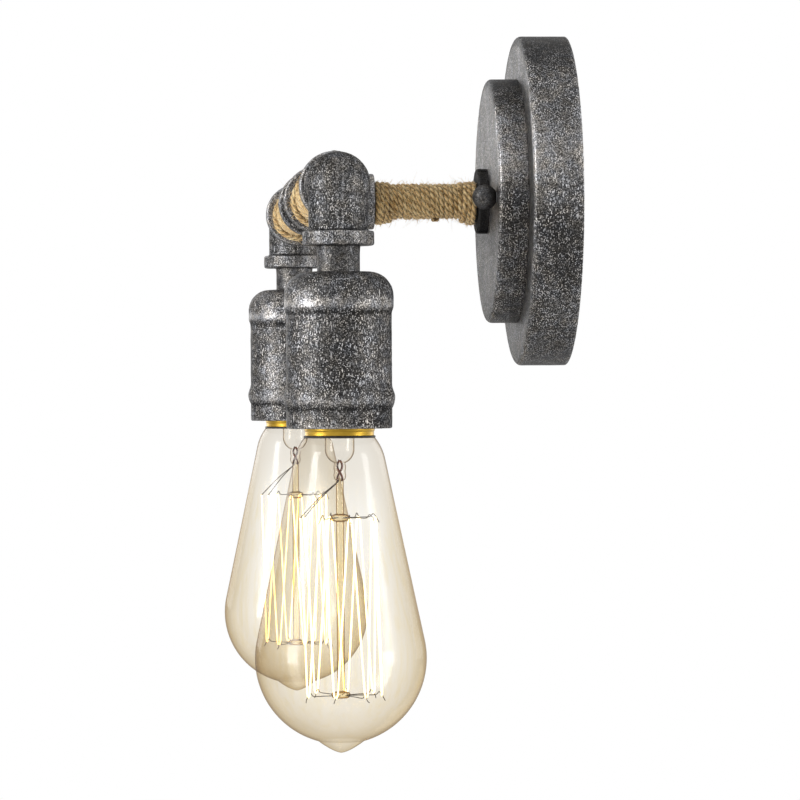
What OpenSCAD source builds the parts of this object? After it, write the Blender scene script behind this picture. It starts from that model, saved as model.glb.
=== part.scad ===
// Wall light with two hanging lamps on a bar of pipe fittings, its pipes wound with twine.
// The wall is the plane y = 0 and the light stands out of it along -Y.
// The bar runs along X through z = 0, and +Z is up. The origin is the centre of the canopy's back.

/* [Layout] */
// Distance between the two lamp axes
lamp_spacing = 300; // [240:5:360]
// Distance from the wall to the bar
reach = 103; // [90:1:140]

/* [Canopy] */
// Outer diameter of the canopy pan
pan_d = 135; // [128:1:160]
// Depth of the canopy pan
pan_h = 20; // [18:0.5:28]
// Outer diameter of the raised boss
boss_d = 100; // [94:1:110]
// Depth of the raised boss
boss_h = 12; // [8:0.5:16]
// Thickness of the canopy's sheet metal
sheet = 1.5; // [1:0.1:2]
// Rounding of the canopy's front edges
edge_r = 2; // [1:0.1:3]
// Diameter of the round cap nuts
cap_nut_d = 10; // [9:0.5:12]

/* [Bracket] */
// Distance between the two studs that carry the canopy
stud_spacing = 78; // [66:1:82]
// Diameter of a stud
stud_d = 4; // [3:0.5:5]
// Distance between the two slots for the wall box's screws
slot_spacing = 88.9; // [82:0.1:94]
// Length of a slot
slot_l = 14; // [8:0.5:16]
// Width of a slot
slot_w = 4.8; // [4:0.2:6]
// Width of the bracket's arms
arm_w = 16; // [13:1:18]
// Thickness of the bracket's plate
plate_t = 2; // [1.5:0.1:3]

/* [Pipes] */
// Outer diameter of the pipe out of the wall
wall_pipe_d = 10; // [9:0.5:12]
// Bore of the pipe out of the wall
wall_pipe_bore = 7; // [6:0.2:7.6]
// Outer diameter of the two arm pipes
arm_pipe_d = 13.7; // [12:0.1:15]
// Bore of the two arm pipes
arm_pipe_bore = 9.2; // [7:0.2:10]
// Outer diameter of the nipples over the lamp cups
nipple_d = 16; // [15:0.5:17]
// Bore of the nipples
nipple_bore = 11; // [9:0.5:12]
// Length of nipple that shows between an elbow and its cup
nipple_show = 9.7; // [6:0.1:16]

/* [Fittings] */
// Outer diameter of the fittings' bodies
fitting_d = 22.2; // [20:0.1:25]
// Distance from a fitting's centre to its end
fitting_l = 23; // [21:0.5:28]
// Outer diameter of the beads round the fittings' ends
bead_d = 26.8; // [25:0.1:30]
// Width of a bead
bead_w = 5.5; // [4:0.1:7]
// Depth to which a pipe is screwed into a fitting
engagement = 12; // [9:0.5:13]
// Diameter of the elbows' round corner
elbow_ball_d = 24.2; // [23:0.1:26]
// Diameter of the neck on the tee's branch
branch_neck_d = 19.6; // [17:0.1:21]
// Diameter of the bead on the tee's branch
branch_bead_d = 22.8; // [21:0.1:26]
// Diameter of the collar on the canopy
collar_d = 26.6; // [24:0.1:30]
// Thickness of the collar on the canopy
collar_h = 4.5; // [3:0.1:7]

/* [Winding] */
// Thickness of the twine winding, out from the pipe
twine_t = 2; // [1.4:0.1:2.6]
// Space left between neighbouring turns
turn_gap = 0.5; // [0.45:0.05:0.8]
// Number of turns on each arm
arm_turns = 24; // [16:1:24]
// Number of turns on the pipe out of the wall
wall_turns = 11; // [7:1:13]

/* [Lamp cups] */
// Diameter of a cup's straight body
cup_d = 39.4; // [37:0.1:44]
// Height of a cup
cup_h = 58.3; // [54:0.1:68]
// Thickness of a cup's wall
cup_wall = 1.9; // [1.4:0.1:2.2]
// Radius of a cup's round shoulder
shoulder_r = 9.1; // [8:0.1:9.5]
// Diameter of the swelling round the lower part of a cup
swell_d = 41.7; // [40:0.1:46]
// Height of the swelling's middle over the cup's rim
swell_height = 11.4; // [9:0.1:16]

/* [Sockets] */
// Inner diameter of the screw shell, which takes the lamp cap
shell_bore = 26.5; // [26.4:0.05:26.8]
// Thickness of the screw shell
shell_t = 0.5; // [0.3:0.05:0.7]
// Depth of the socket body's lower face inside the cup's rim
socket_recess = 2.5; // [1:0.1:4]
// Thickness of the socket body's top
socket_top_t = 6; // [5:0.2:8]
// Diameter of the wires over their insulation
wire_d = 1.8; // [1.2:0.1:2]

/* [Bulbs] */
// Largest diameter of a bulb
bulb_d = 64; // [58:1:70]
// Length of the glass from the cap to the tip
glass_l = 118; // [106:1:130]
// Thickness of the glass
glass_t = 0.8; // [0.5:0.1:1.2]
// Length of the glass tip under the round end
tip_h = 5; // [3:0.1:7]
// Outer diameter of the cap's thread
cap_d = 26.3; // [26:0.05:26.3]
// Length of the cap's shell
cap_l = 23; // [20:0.5:24]
// Length of cap that shows under the cup
cap_show = 2.8; // [1:0.1:4]
// Radius at which the filament hangs on its upper hooks
upper_hook_r = 13.8; // [10:0.1:15]
// Radius at which the filament hangs on its lower hooks
lower_hook_r = 15.3; // [11:0.1:18]
// Number of legs in the filament
filament_legs = 14; // [8:2:20]
// Diameter of the filament
filament_d = 0.5; // [0.3:0.1:0.8]

/* [Hidden] */
SIDES = ["right", "left"];
SIDE_PIECES = [
    "arm_pipe", "rope", "elbow", "nipple", "cup", "cup_nut", "socket_bridge", "bridge_screws",
    "socket_body", "screw_shell", "centre_contact", "terminal_screws", "cap_nut",
    "bulb_cap", "bulb_insulator", "bulb_contact", "bulb_glass", "bulb_stem",
    "bulb_supports", "bulb_leads", "bulb_filament"
];

// Small fits: between threads, between faces that turn on each other, and round loose pieces
thread_gap = 0.05;
turn_clearance = 0.1;
loose_gap = 0.3;
// Smoothness of round pieces
$fn = 48;

// Colours
aged_silver = "#5a5b5e";
dark_silver = "#444548";
zinc = "#b9bcc0";
brass = "#c9a13c";
jute = "#b08d57";
porcelain = "#efece2";
black_glass = "#15161a";
amber_glass = "#e8c07840";
clear_glass = "#f0f0f080";

// Places along the pipe out of the wall, counted from the wall
boss_front = pan_h + boss_h;
collar_front = boss_front + collar_h;
pan_inside = pan_h - sheet;
washer_t = 1.2;
lock_nut_h = 4;
pipe_back = pan_inside - washer_t - lock_nut_h - 1;
branch_end = reach - fitting_l;

// Places along the bar, counted from its middle
lamp_x = lamp_spacing / 2;
arm_rope_l = lamp_x - 2 * fitting_l;

// Places under the bar, counted down along a lamp's axis
cup_top = fitting_l + nipple_show;
cup_rim = cup_top + cup_h;
cup_bore = cup_d - 2 * cup_wall;
cup_nut_top = cup_top + cup_wall;
cup_nut_h = 4;
bridge_top = cup_nut_top + cup_nut_h;
bridge_t = 1.5;
nipple_end = bridge_top + bridge_t + 0.9;
socket_bottom = cup_rim - socket_recess;
cap_rim = cup_rim + cap_show;
insulator_h = 2.5;
contact_h = 1.5;
cap_top = cap_rim - cap_l;
contact_tip = cap_top - insulator_h - contact_h;
contact_rise = 2.4;
shell_seat = contact_tip - loose_gap - contact_rise;
socket_top = shell_seat - socket_top_t;
socket_d = cup_bore - 2 * loose_gap;
shell_d = shell_bore + 2 * shell_t;

// Places in the bulb
glass_r = bulb_d / 2;
glass_tip = cap_rim + glass_l;
ball_depth = glass_tip - tip_h - glass_r;
glass_cone = 12;
cap_bore_r = cap_d / 2 - 1.15;
stem_foot = cap_rim - 9;
pinch_top = cap_rim + 10;
pinch_bottom = pinch_top + 6.5;
pinch_to_button = 14;
button_to_tip = 21.4;
upper_button = pinch_bottom + pinch_to_button;
lower_button = glass_tip - button_to_tip;
lead_x = 1.5;
lead_d = 0.5;
hook_d = 0.5;
rod_r = 1.35;
button_r = 3.5;

// Wires lie in a square of four in the pipe out of the wall
wire_offset = wire_d / 2 + 0.15;
wire_level = 8;
wire_bend_r = 3.5;
fitting_bend_r = 8;
terminal_x = 10;
terminal_head_h = 2;
connector_start = 14;
connector_l = 17;

// The ground wire's screw, and the ear on the lock washer where the wire ends
ground_x = 24;
ear_x = ground_x - 10;

// Fasteners: diameter of a terminal or ground screw's shank and head
screw_d = 3.5;
screw_head_d = 6.5;

// Points on an arc round a centre, from one angle to another
function arc(centre, r, from, to, steps = 8) = [
    for (i = [0:steps]) let (a = from + (to - from) * i / steps) centre + r * [cos(a), sin(a)]
];

// A value that eases from 0 to 1
function ease(t) = t * t * (3 - 2 * t);

function unit(v) = v / norm(v);

// Direction of travel at one point of a path
function heading(path, i) = unit(path[min(i + 1, len(path) - 1)] - path[max(i - 1, 0)]);

// The six-sided section of a tube: w is its width along the surface it lies on, h its thickness
function section(path, outs, i, w, h) =
    let (
        t = heading(path, i),
        side = unit(cross(outs[i], t)),
        out = cross(t, side)
    )
    [for (k = [0:5]) path[i] + side * w / 2 * cos(60 * k) + out * h / 2 * sin(60 * k) / sin(60)];

function tube_points(path, outs, w, h) = [
    for (i = [0:len(path) - 1]) each section(path, outs, i, w, h)
];

// One unbroken tube of triangles along a path
module swept_tube(path, outs, w, h) {
    last = 6 * (len(path) - 1);
    faces = [
        for (i = [0:len(path) - 2], k = [0:5])
            let (a = 6 * i + k, b = 6 * i + (k + 1) % 6)
            each [[a, b, b + 6], [a, b + 6, a + 6]],
        for (k = [1:4]) [0, k + 1, k],
        for (k = [1:4]) [last, last + k, last + k + 1]
    ];
    polyhedron(tube_points(path, outs, w, h), faces, convexity = 10);
}

// A winding on a pipe of diameter d and length l, laid out flat as [along, around].
// It starts and ends with a straight run along the pipe, which meets the fitting squarely.
rings_per_turn = 12;
bend_rings = 3;
winding_bend = 2;
function winding_r(d) = (d / 2 + thread_gap) / cos(180 / rings_per_turn) + twine_t / 2;
function winding_pitch(l, turns) = (l - 2 * (twine_t + winding_bend)) / turns;
function winding_flat(d, l, turns) =
    let (
        r = winding_r(d),
        slope = atan(winding_pitch(l, turns) / (2 * PI * r)),
        reach_out = winding_bend * cos(slope),
        pitch = (l - 2 * (twine_t + reach_out)) / turns,
        bend_u = winding_bend * (1 - sin(slope)),
        total_u = 2 * bend_u + 2 * PI * r * turns,
        bend = [
            for (i = [0:bend_rings]) let (a = (90 - slope) * i / bend_rings)
            [twine_t + winding_bend * sin(a), winding_bend * (1 - cos(a))]
        ],
        steps = turns * rings_per_turn
    )
    [
        [0, 0],
        each bend,
        for (i = [1:steps - 1])
            [twine_t + reach_out + pitch * turns * i / steps, bend_u + 2 * PI * r * turns * i / steps],
        for (i = [bend_rings:-1:0]) [l - bend[i].x, total_u - bend[i].y],
        [l, total_u]
    ];
function winding_turned(flat, r) = [for (p = flat) let (a = p.y / r * 180 / PI) [0, cos(a), sin(a)]];
function winding_path(flat, r) = [for (p = flat) let (a = p.y / r * 180 / PI) [p.x, r * cos(a), r * sin(a)]];

// Least distance between the rings of neighbouring turns, measured on the tube's own points
function least_gap(points, rings) = min([
    for (i = [0:rings - 1], j = [i + rings_per_turn - 4:min(i + rings_per_turn + 6, rings - 1)], k = [0:5], m = [0:5])
        norm(points[6 * i + k] - points[6 * j + m])
]);

// Twine wound on a pipe that runs along X from 0 to l
module winding(d, l, turns) {
    r = winding_r(d);
    flat = winding_flat(d, l, turns);
    path = winding_path(flat, r);
    outs = winding_turned(flat, r);
    width = winding_pitch(l, turns) - turn_gap;
    echo(least_winding_gap = least_gap(tube_points(path, outs, width, twine_t), len(path)));
    swept_tube(path, outs, width, twine_t);
}

// Turns what is modelled along +Z so that it stands out of the wall, to the given distance
module from_wall(distance = 0) {
    translate([0, -distance, 0]) rotate([90, 0, 0]) children();
}

// Puts what is modelled round Z, with depths counted upwards, under a lamp's end of the bar
module on_lamp_axis() {
    translate([lamp_x, -reach, 0]) rotate([180, 0, 0]) children();
}

// Draws the right-hand piece on either side
module on_side(side) {
    mirror([side == "left" ? 1 : 0, 0, 0]) children();
}

module tube(d, bore, l) {
    difference() {
        cylinder(d = d, h = l);
        translate([0, 0, -1]) cylinder(d = bore, h = l + 2);
    }
}

module hex_nut(across, h, bore) {
    difference() {
        cylinder(d = across / cos(30), h = h, $fn = 6);
        translate([0, 0, -1]) cylinder(d = bore, h = h + 2);
    }
}

// Pan head with a slot, its underside at z = 0, on a shank that goes down
module slotted_screw(head_d, head_h, d, l) {
    slot_depth = head_h / 2;
    difference() {
        cylinder(d = head_d, h = head_h);
        translate([-head_d, -0.5, head_h - slot_depth]) cube([2 * head_d, 1, head_h]);
    }
    translate([0, 0, -l]) cylinder(d = d, h = l);
}

// A straight stretch of wire from a to b
module wire_run(a, b) {
    along = b - a;
    tilt = acos(along.z / norm(along));
    turn = atan2(along.y, along.x);
    translate(a) rotate([0, tilt, turn]) cylinder(d = wire_d, h = norm(along), $fn = 24);
}

// A quarter bend of wire at a corner, which it reaches along one direction and leaves along another
module wire_bend(corner, from, to, r) {
    x = -to;
    z = cross(x, from);
    centre = corner + r * (to - from);
    multmatrix([
        [x.x, from.x, z.x, centre.x],
        [x.y, from.y, z.y, centre.y],
        [x.z, from.z, z.z, centre.z]
    ]) rotate_extrude(angle = 90) translate([r, 0]) circle(d = wire_d, $fn = 24);
}

// A wire along a route of square corners, each rounded by its own radius
module wire_route(corners, radii) {
    last = len(corners) - 1;
    steps = [for (i = [0:last - 1]) unit(corners[i + 1] - corners[i])];
    for (i = [0:last - 1])
        wire_run(
            corners[i] + steps[i] * (i == 0 ? 0 : radii[i - 1]),
            corners[i + 1] - steps[i] * (i == last - 1 ? 0 : radii[i])
        );
    for (i = [1:last - 1]) wire_bend(corners[i], steps[i - 1], steps[i], radii[i - 1]);
}

/* Wall bracket and canopy */

module mounting_bracket() {
    bar = stud_spacing + arm_w;
    post = slot_spacing + slot_l + arm_w / 2;
    slot_run = (slot_l - slot_w) / 2;
    color(zinc) from_wall() difference() {
        union() {
            translate([-bar / 2, -arm_w / 2, 0]) cube([bar, arm_w, plate_t]);
            translate([-arm_w / 2, -post / 2, 0]) cube([arm_w, post, plate_t]);
        }
        for (x = [-1, 1])
            translate([x * stud_spacing / 2, 0, -1]) cylinder(d = stud_d + 2 * thread_gap, h = plate_t + 2);
        for (z = [-1, 1]) translate([0, z * slot_spacing / 2, -1]) {
            for (end = [-1, 1]) translate([0, end * slot_run, 0]) cylinder(d = slot_w, h = plate_t + 2);
            translate([-slot_w / 2, -slot_run, 0]) cube([slot_w, 2 * slot_run, plate_t + 2]);
        }
        translate([-ground_x, 0, -1]) cylinder(d = screw_d + 2 * thread_gap, h = plate_t + 2);
    }
}

stud_end = boss_front + 5;
module bracket_studs() {
    color(zinc) for (x = [-1, 1])
        translate([x * stud_spacing / 2, 0, 0]) from_wall() cylinder(d = stud_d, h = stud_end);
}

module stud_nuts() {
    color(zinc) for (x = [-1, 1])
        translate([x * stud_spacing / 2, 0, 0]) from_wall(plate_t)
            hex_nut(1.75 * stud_d, 0.8 * stud_d, stud_d + 2 * thread_gap);
}

// The wire lies under the screw's head, beside its shank
module ground_screw() {
    color("#3f8f4a") translate([-ground_x, 0, 0]) from_wall(plate_t + wire_d)
        slotted_screw(screw_head_d, terminal_head_h, screw_d, plate_t + wire_d);
}

// From the ground screw along the bracket, then out to the ear of the lock washer
module ground_wire() {
    y = -plate_t - wire_d / 2;
    start = -ground_x + screw_d / 2 + thread_gap;
    color("#3f8f4a")
        wire_route([[start, y, 0], [-ear_x, y, 0], [-ear_x, washer_t - pan_inside, 0]], [wire_bend_r]);
}

// A round shell, open at its back, with its front edge rounded and a hole for the pipe
module round_shell(d, h) {
    r = d / 2;
    hole_r = wall_pipe_d / 2 + thread_gap;
    rotate_extrude() polygon([
        [r, 0],
        each arc([r - edge_r, h - edge_r], edge_r, 0, 90),
        [hole_r, h],
        [hole_r, h - sheet],
        [r - sheet, h - sheet],
        [r - sheet, 0]
    ]);
}

module stud_holes(h) {
    for (x = [-1, 1]) translate([x * stud_spacing / 2, 0, -1]) cylinder(d = stud_d + 2 * loose_gap, h = h + 2);
}

module canopy_pan() {
    color(aged_silver) from_wall() difference() {
        round_shell(pan_d, pan_h);
        stud_holes(pan_h);
    }
}

module canopy_boss() {
    color(aged_silver) from_wall(pan_h) difference() {
        round_shell(boss_d, boss_h);
        stud_holes(boss_h);
    }
}

// A round ball nut, flat where it faces the boss, with a blind thread for its stud
module cap_nut() {
    r = cap_nut_d / 2;
    foot = 0.92 * r;
    back = boss_front + turn_clearance;
    color(dark_silver) translate([stud_spacing / 2, 0, 0]) from_wall(back) difference() {
        translate([0, 0, foot]) intersection() {
            sphere(r = r);
            translate([-r, -r, -foot]) cube([2 * r, 2 * r, 2 * r]);
        }
        translate([0, 0, -1]) cylinder(d = stud_d + 2 * turn_clearance, h = stud_end - back + 1 + loose_gap);
    }
}

/* Pipe out of the wall */

module wall_collar() {
    r = collar_d / 2;
    bore_r = wall_pipe_d / 2 + thread_gap;
    color(aged_silver) from_wall(boss_front) rotate_extrude() polygon([
        [bore_r, 0],
        [r, 0],
        each arc([r - 1, collar_h - 1], 1, 0, 90),
        [bore_r, collar_h]
    ]);
}

module wall_pipe() {
    color(zinc) from_wall(pipe_back) tube(wall_pipe_d, wall_pipe_bore, branch_end + engagement - pipe_back);
}

module pipe_lock_nut() {
    color(zinc) from_wall(pipe_back + 1)
        hex_nut(1.5 * wall_pipe_d, lock_nut_h, wall_pipe_d + 2 * thread_gap);
}

// A washer with an ear for the end of the ground wire
module pipe_lock_washer() {
    ear_w = 5;
    color(zinc) from_wall(pan_inside - washer_t) difference() {
        union() {
            cylinder(d = 2 * wall_pipe_d, h = washer_t);
            translate([-ear_x - ear_w / 2, -ear_w / 2, 0]) cube([ear_x, ear_w, washer_t]);
        }
        translate([0, 0, -1]) cylinder(d = wall_pipe_d + 2 * thread_gap, h = washer_t + 2);
    }
}

module wall_rope() {
    color(jute) translate([0, -collar_front, 0]) rotate([0, 0, -90])
        winding(wall_pipe_d, branch_end - collar_front, wall_turns);
}

/* Pipe fittings */

// A fitting's leg from its centre out along Z, with a rounded bead at its end
module fitting_leg(d, end_d) {
    r = d / 2;
    bead_r = end_d / 2;
    step = bead_r - r;
    cove = step / 3;
    edge = step / 2;
    foot = fitting_l - bead_w;
    rotate_extrude() polygon([
        [0, 0],
        [r, 0],
        each arc([r + cove, foot - cove], cove, 180, 90, 4),
        each arc([bead_r - edge, foot + edge], edge, -90, 0, 4),
        each arc([bead_r - edge, fitting_l - edge], edge, 0, 90, 4),
        [0, fitting_l]
    ]);
}

// The bore of a leg: a socket for a pipe, and the way through to the centre
module leg_bore(pipe_d, way_d) {
    socket = engagement + thread_gap;
    translate([0, 0, fitting_l - socket]) cylinder(d = pipe_d + 2 * thread_gap, h = socket + 1);
    cylinder(d = way_d, h = fitting_l);
}

module tee() {
    color(aged_silver) translate([0, -reach, 0]) difference() {
        union() {
            for (side = [-1, 1]) rotate([0, side * 90, 0]) fitting_leg(fitting_d, bead_d);
            rotate([-90, 0, 0]) fitting_leg(branch_neck_d, branch_bead_d);
        }
        for (side = [-1, 1]) rotate([0, side * 90, 0]) leg_bore(arm_pipe_d, arm_pipe_bore);
        rotate([-90, 0, 0]) leg_bore(wall_pipe_d, wall_pipe_bore);
    }
}

module elbow() {
    color(aged_silver) translate([lamp_x, -reach, 0]) difference() {
        union() {
            rotate([0, -90, 0]) fitting_leg(fitting_d, bead_d);
            rotate([180, 0, 0]) fitting_leg(fitting_d, bead_d);
            sphere(d = elbow_ball_d);
        }
        rotate([0, -90, 0]) leg_bore(arm_pipe_d, nipple_bore);
        rotate([180, 0, 0]) leg_bore(nipple_d, nipple_bore);
        sphere(d = nipple_bore);
    }
}

module arm_pipe() {
    start = fitting_l - engagement;
    color(zinc) translate([start, -reach, 0]) rotate([0, 90, 0])
        tube(arm_pipe_d, arm_pipe_bore, lamp_x - 2 * start);
}

module rope() {
    color(jute) translate([fitting_l, -reach, 0]) winding(arm_pipe_d, arm_rope_l, arm_turns);
}

/* Lamp cups and sockets */

module nipple() {
    start = fitting_l - engagement;
    color(dark_silver) on_lamp_axis() translate([0, 0, start]) tube(nipple_d, nipple_bore, nipple_end - start);
}

// A turned cup. Its shoulder steps in a little, and its swelling falls off more steeply below than above.
module cup() {
    r = cup_d / 2;
    brow = 0.75;
    flat_r = r + brow - shoulder_r;
    hole_r = nipple_d / 2 + thread_gap;
    swell = cup_h - swell_height;
    rise = swell_d / 2 - r;
    lip = 0.5;
    color(aged_silver) on_lamp_axis() translate([0, 0, cup_top]) rotate_extrude() polygon([
        [hole_r, 0],
        each arc([flat_r, shoulder_r], shoulder_r, -90, 0, 10),
        [r + brow, shoulder_r + 4],
        [r, shoulder_r + 6.2],
        for (i = [-3:3]) [r + rise * (1 + cos(60 * i)) / 2, swell + i * (i < 0 ? 1.5 : 1.15)],
        [r, cup_h - lip],
        [r - lip, cup_h],
        [r - cup_wall, cup_h],
        [r - cup_wall, shoulder_r + 5],
        each arc([flat_r, shoulder_r], shoulder_r - cup_wall, 0, -90, 10),
        [hole_r, cup_wall]
    ]);
}

module cup_nut() {
    color(zinc) on_lamp_axis() translate([0, 0, cup_nut_top])
        hex_nut(nipple_d + 2.8, cup_nut_h, nipple_d + 2 * thread_gap);
}

// A strap on the nipple's end, whose two legs carry the socket body
bridge_w = 10;
bridge_leg_y = 9.5;
bridge_foot_l = 6;
foot_screw_y = bridge_leg_y + bridge_t + 2.4;
foot_screw_d = 2.6;
module socket_bridge() {
    plate = nipple_d + 6;
    color(zinc) on_lamp_axis() difference() {
        union() {
            translate([-plate / 2, -plate / 2, bridge_top]) cube([plate, plate, bridge_t]);
            for (side = [-1, 1]) scale([1, side, 1]) translate([-bridge_w / 2, bridge_leg_y, 0]) {
                translate([0, 0, bridge_top]) cube([bridge_w, bridge_t, socket_top - bridge_top]);
                translate([0, 0, socket_top - bridge_t]) cube([bridge_w, bridge_foot_l, bridge_t]);
            }
        }
        translate([0, 0, bridge_top - 1]) cylinder(d = nipple_d + 2 * thread_gap, h = bridge_t + 2);
        for (side = [-1, 1]) translate([0, side * foot_screw_y, socket_top - bridge_t - 1])
            cylinder(d = foot_screw_d + 2 * thread_gap, h = bridge_t + 2);
    }
}

module bridge_screws() {
    color(zinc) on_lamp_axis() for (side = [-1, 1])
        translate([0, side * foot_screw_y, socket_top - bridge_t]) rotate([180, 0, 0])
            slotted_screw(1.7 * foot_screw_d, 0.6 * foot_screw_d, foot_screw_d, bridge_t + 4);
}

module socket_body() {
    rivet_bore = 3 + 2 * thread_gap;
    color(porcelain) on_lamp_axis() difference() {
        translate([0, 0, socket_top]) cylinder(d = socket_d, h = socket_bottom - socket_top);
        translate([0, 0, shell_seat]) cylinder(d = shell_d + 2 * thread_gap, h = socket_bottom - shell_seat + 1);
        translate([0, 0, socket_top - 1]) {
            cylinder(d = rivet_bore, h = socket_top_t + 2);
            for (side = [-1, 1]) {
                translate([0, side * foot_screw_y, 0]) cylinder(d = foot_screw_d + 2 * thread_gap, h = 5.2);
                translate([side * terminal_x, 0, 0]) cylinder(d = screw_d + 2 * thread_gap, h = 5.2);
            }
        }
    }
}

module screw_shell() {
    color(brass) on_lamp_axis() translate([0, 0, shell_seat])
        tube(shell_d, shell_bore, socket_bottom - shell_seat - 1);
}

// A riveted button that touches the bulb's contact
module centre_contact() {
    rivet_head = 0.6;
    color(brass) on_lamp_axis() {
        translate([0, 0, shell_seat]) cylinder(d = 9, h = 0.8);
        translate([0, 0, shell_seat + 0.8]) cylinder(d1 = 6.4, d2 = 5, h = contact_rise - 0.8);
        translate([0, 0, socket_top]) cylinder(d = 3, h = socket_top_t);
        translate([0, 0, socket_top - rivet_head]) cylinder(d = 4, h = rivet_head);
    }
}

module terminal_screws() {
    color(brass) on_lamp_axis() for (side = [-1, 1])
        translate([side * terminal_x, 0, socket_top - wire_d]) rotate([180, 0, 0])
            slotted_screw(screw_head_d, terminal_head_h, screw_d, wire_d + 4);
}

/* Wires */

// One wire from its connector in the canopy to its terminal. level is 1 for the upper wire and -1 for
// the lower one. It is the right-hand lamp's wire: the left-hand one is its mirror image.
module lamp_wire(level) {
    x = wire_offset;
    z = level * wire_offset;
    drop = lamp_x + z;
    depth = socket_top - wire_d / 2;
    wire_route([
        [x, -wire_level, level * connector_start],
        [x, -wire_level, z],
        [x, -reach, z],
        [drop, -reach, z],
        [drop, -reach, -depth],
        [lamp_x + level * (terminal_x - screw_d / 2 - thread_gap), -reach, -depth]
    ], [wire_bend_r, fitting_bend_r, fitting_bend_r + z, wire_bend_r]);
}

module hot_wires() {
    color("#202020") for (name = SIDES) on_side(name) lamp_wire(1);
}

module neutral_wires() {
    color("#e8e8e8") for (name = SIDES) on_side(name) lamp_wire(-1);
}

// Twist-on connectors, one for each pair of wires, with a bore for the twisted ends
module wire_connectors() {
    bore_r = wire_offset + wire_d / 2 + loose_gap;
    wall = 1.6;
    color("#c0392b") for (level = [-1, 1])
        translate([0, -wire_level, 0]) rotate([level > 0 ? 0 : 180, 0, 0])
            translate([0, 0, connector_start - 5]) rotate_extrude() polygon([
                [bore_r, 0],
                [bore_r + wall, 0],
                [bore_r + wall, 3],
                [bore_r + wall - 1, connector_l - 1],
                [bore_r + wall - 2, connector_l],
                [0, connector_l],
                [0, connector_l - 2],
                [bore_r - 1, connector_l - 4],
                [bore_r, 8]
            ]);
}

/* Bulbs */

// The brass shell with its rolled thread, whose plain skirt shows under the cup
module bulb_cap() {
    thread_pitch = 3.63;
    depth = 0.35;
    crest_r = cap_d / 2 - depth;
    skirt = 4.4;
    turns = floor((cap_l - skirt) / thread_pitch);
    steps = 6;
    color(brass) on_lamp_axis() rotate_extrude() polygon([
        [cap_bore_r, cap_rim],
        [cap_d / 2 - 0.3, cap_rim],
        [cap_d / 2, cap_rim - 0.5],
        [cap_d / 2, cap_rim - skirt + 1],
        for (i = [0:turns * steps])
            [crest_r - depth * cos(360 * i / steps), cap_rim - skirt - thread_pitch * i / steps],
        [crest_r - depth, cap_top],
        [cap_bore_r, cap_top]
    ]);
}

module bulb_insulator() {
    foot_r = cap_bore_r - thread_gap;
    hole_r = lead_d / 2 + 0.1;
    color(black_glass) on_lamp_axis() rotate_extrude() polygon([
        [hole_r, cap_top + 2],
        [foot_r, cap_top + 2],
        [foot_r, cap_top],
        [5, cap_top - insulator_h],
        [hole_r, cap_top - insulator_h]
    ]);
}

module bulb_contact() {
    color(zinc) on_lamp_axis() rotate_extrude() polygon([
        [0, contact_tip],
        [2, contact_tip],
        [4.3, contact_tip + 0.5],
        [4.8, contact_tip + contact_h],
        [0, contact_tip + contact_h]
    ]);
}

// The glass's outline: a neck that swells into a cone, a ball, and a drawn-out tip
cone_end_r = glass_r * cos(glass_cone);
cone_end = ball_depth - glass_r * sin(glass_cone);
neck_l = 10;
neck_r = cap_d / 2 + 0.15;
neck_start = cap_rim + 0.7;
function cone_at(depth) = cone_end_r - tan(glass_cone) * (cone_end - depth);
function neck_at(depth, inward) =
    let (t = (depth - neck_start) / neck_l)
    cone_at(depth) - (cone_at(neck_start) - neck_r) * (1 - ease(t)) - inward;
tip_r = 10;
tip_from = asin(tip_r / glass_r);

// The ball from the cone's end down towards the tip, drawn in by a wall's thickness
function ball_arc(r, to) = [
    for (i = [0:14]) let (a = -glass_cone + (to + glass_cone) * i / 14) [r * cos(a), ball_depth + r * sin(a)]
];

module bulb_glass() {
    collar_r = cap_bore_r - 0.35;
    tip_base = ball_depth + glass_r * cos(tip_from);
    color(amber_glass) on_lamp_axis() rotate_extrude() polygon([
        [collar_r, stem_foot],
        [collar_r, cap_rim + 0.2],
        for (i = [0:6]) let (depth = neck_start + neck_l * i / 6) [neck_at(depth, 0), depth],
        each ball_arc(glass_r, 90 - tip_from),
        for (i = [1:6]) let (t = sin(15 * i)) [tip_r * pow(1 - t, 0.76), tip_base + (glass_tip - tip_base) * t],
        for (i = [14:-1:0]) let (a = -glass_cone + (90 + glass_cone) * i / 14)
            [(glass_r - glass_t) * cos(a), ball_depth + (glass_r - glass_t) * sin(a)],
        for (i = [6:-1:0]) let (depth = neck_start + neck_l * i / 6) [neck_at(depth, glass_t), depth],
        [collar_r - glass_t, cap_rim],
        [collar_r - glass_t, stem_foot]
    ]);
}

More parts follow.
